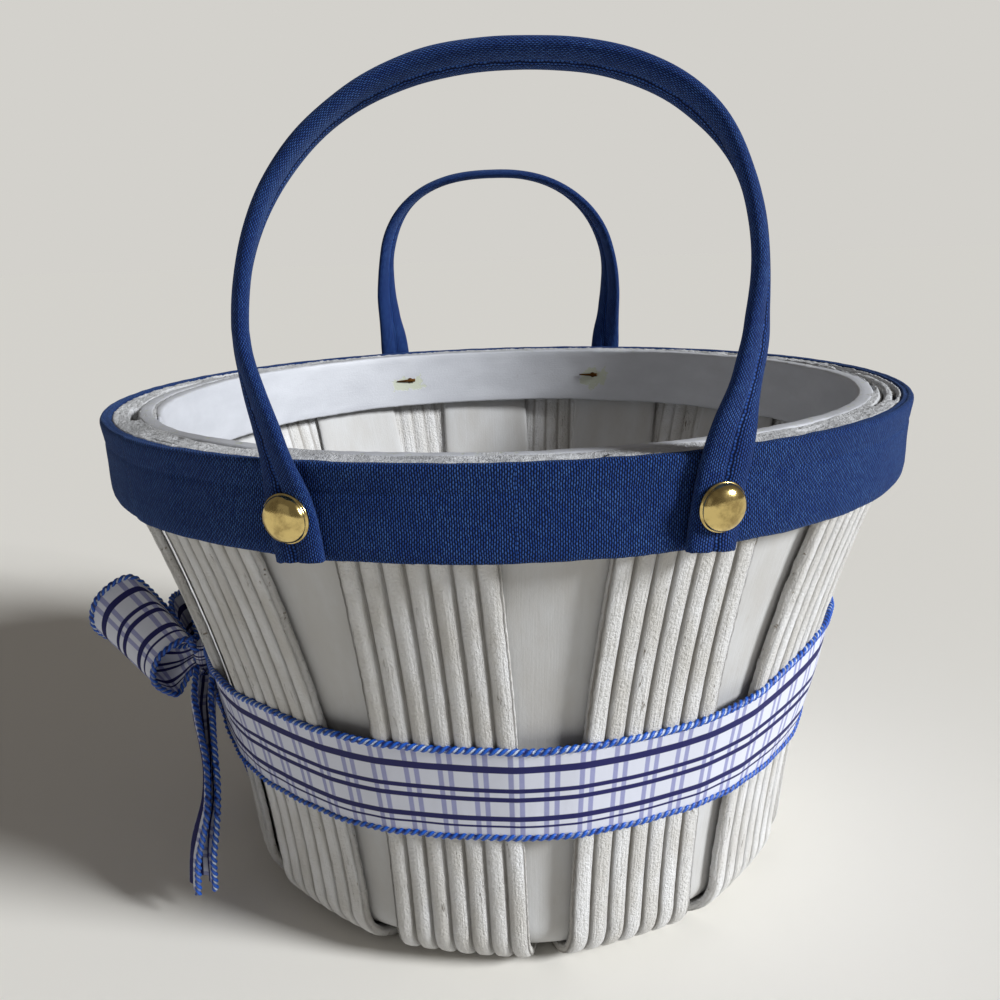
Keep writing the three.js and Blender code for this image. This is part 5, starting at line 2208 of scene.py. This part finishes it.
@dataclass
class Studio:
    """A pale floor, soft light and the camera at the photograph's angle."""

    lens: float = 34.56
    sensor: float = 36.0
    camera_place: Triple = (-4.41, -356.62, 220.52)
    look: Triple = (0.00382, 0.96838, -0.24946)
    roll: float = -1.783
    key_from: Triple = (0.83, -0.36, 0.55)
    key_strength: float = 4.4
    key_angle: float = 15.0
    key_colour: Colour = (0.97, 0.985, 1.0)
    fill_from: Triple = (-0.7, -1.0, 0.5)
    fill_size: float = 0.8
    fill_strength: float = 0.25
    fill_colour: Colour = (0.96, 0.97, 1.0)
    aimed_at: Triple = (0.0, 0.0, 0.1)
    floor_colour: Colour = srgb(240, 238, 232)
    floor_size: float = 60.0
    sky_colour: Colour = srgb(244, 236, 228)
    sky_strength: float = 0.16
    backdrop: Colour = srgb(211, 209, 204)

    def add_camera(self) -> None:
        """Puts the camera where the photograph was taken from."""
        data = bpy.data.cameras.new("camera")
        data.lens = self.lens
        data.sensor_width = self.sensor
        data.clip_start = 0.01
        camera = bpy.data.objects.new("camera", data)
        bpy.context.scene.collection.objects.link(camera)
        forward = Vector(self.look).normalized()
        level = forward.cross(UP).normalized()
        raised = level.cross(forward)
        roll = math.radians(self.roll)
        right = level * math.cos(roll) + raised * math.sin(roll)
        over = raised * math.cos(roll) - level * math.sin(roll)
        camera.matrix_world = Matrix.Translation(Vector(self.camera_place) * MM) @ Matrix(
            (right, over, -forward)).transposed().to_4x4()
        bpy.context.scene.camera = camera

    def aim(self, data: bpy.types.Light, place: Triple) -> None:
        """Adds a lamp aimed at the basket.

        Args:
            data: The lamp.
            place: Where it stands, in metres.
        """
        lamp = bpy.data.objects.new(data.name, data)
        bpy.context.scene.collection.objects.link(lamp)
        lamp.location = place
        lamp.rotation_mode = "QUATERNION"
        lamp.rotation_quaternion = (Vector(self.aimed_at) - Vector(place)).to_track_quat("-Z", "Y")

    def add_lights(self) -> None:
        """Adds broad daylight from the right and a weak fill from the left."""
        key = bpy.data.lights.new("key", "SUN")
        key.energy = self.key_strength
        key.angle = math.radians(self.key_angle)
        key.color = self.key_colour
        self.aim(key, self.key_from)
        fill = bpy.data.lights.new("fill", "AREA")
        fill.size = self.fill_size
        fill.energy = self.fill_strength
        fill.color = self.fill_colour
        self.aim(fill, self.fill_from)

    def add_floor(self) -> None:
        """Adds the plain pale floor."""
        mesh = bmesh.new()
        bmesh.ops.create_grid(mesh, x_segments=1, y_segments=1, size=self.floor_size / 2)
        data = bpy.data.meshes.new("floor")
        mesh.to_mesh(data)
        mesh.free()
        looks = {"Base Color": (*self.floor_colour, 1.0), "Roughness": 0.9, "Specular IOR Level": 0.0}
        data.materials.append(new_material("floor", looks)[0])
        floor = bpy.data.objects.new("floor", data)
        bpy.context.scene.collection.objects.link(floor)

    def add_sky(self) -> None:
        """Lights the scene from all round, with a pale backdrop for camera rays and transmission rays."""
        world = bpy.data.worlds.new("studio")
        world.use_nodes = True
        graph = Graph(world.node_tree)
        background = world.node_tree.nodes["Background"]
        path = graph.add("ShaderNodeLightPath")
        seen = graph.math("MAXIMUM", path.outputs["Is Camera Ray"], path.outputs["Is Transmission Ray"])
        graph.fill(background, {
            "Color": graph.mix(seen, self.sky_colour, self.backdrop),
            "Strength": graph.math("MULTIPLY_ADD", seen, 1 - self.sky_strength, self.sky_strength),
        })
        bpy.context.scene.world = world

    def build(self) -> None:
        """Sets up the studio."""
        bpy.context.scene.view_settings.view_transform = "Standard"
        self.add_camera()
        self.add_lights()
        self.add_floor()
        self.add_sky()


def measured_side() -> Side:
    """The side of the basket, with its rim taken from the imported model."""
    low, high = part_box("rim_cloth")
    return Side(top=high.z / MM, hoop_bottom=low.z / MM, rim_radius=high.x / MM)


def main() -> None:
    """Builds the studio and every sub-assembly."""
    Studio().build()
    side = measured_side()
    Bottom().build()
    Staves(side).build()
    Rim(side).build()
    Handle(name="front", azimuth=-1.2, side=side, arch=FRONT_ARCH).build()
    Handle(name="back", azimuth=180.0, side=side, arch=BACK_ARCH).build()
    Ribbon(side).build()
    bpy.context.view_layer.update()


if __name__ == "__main__":
    main()
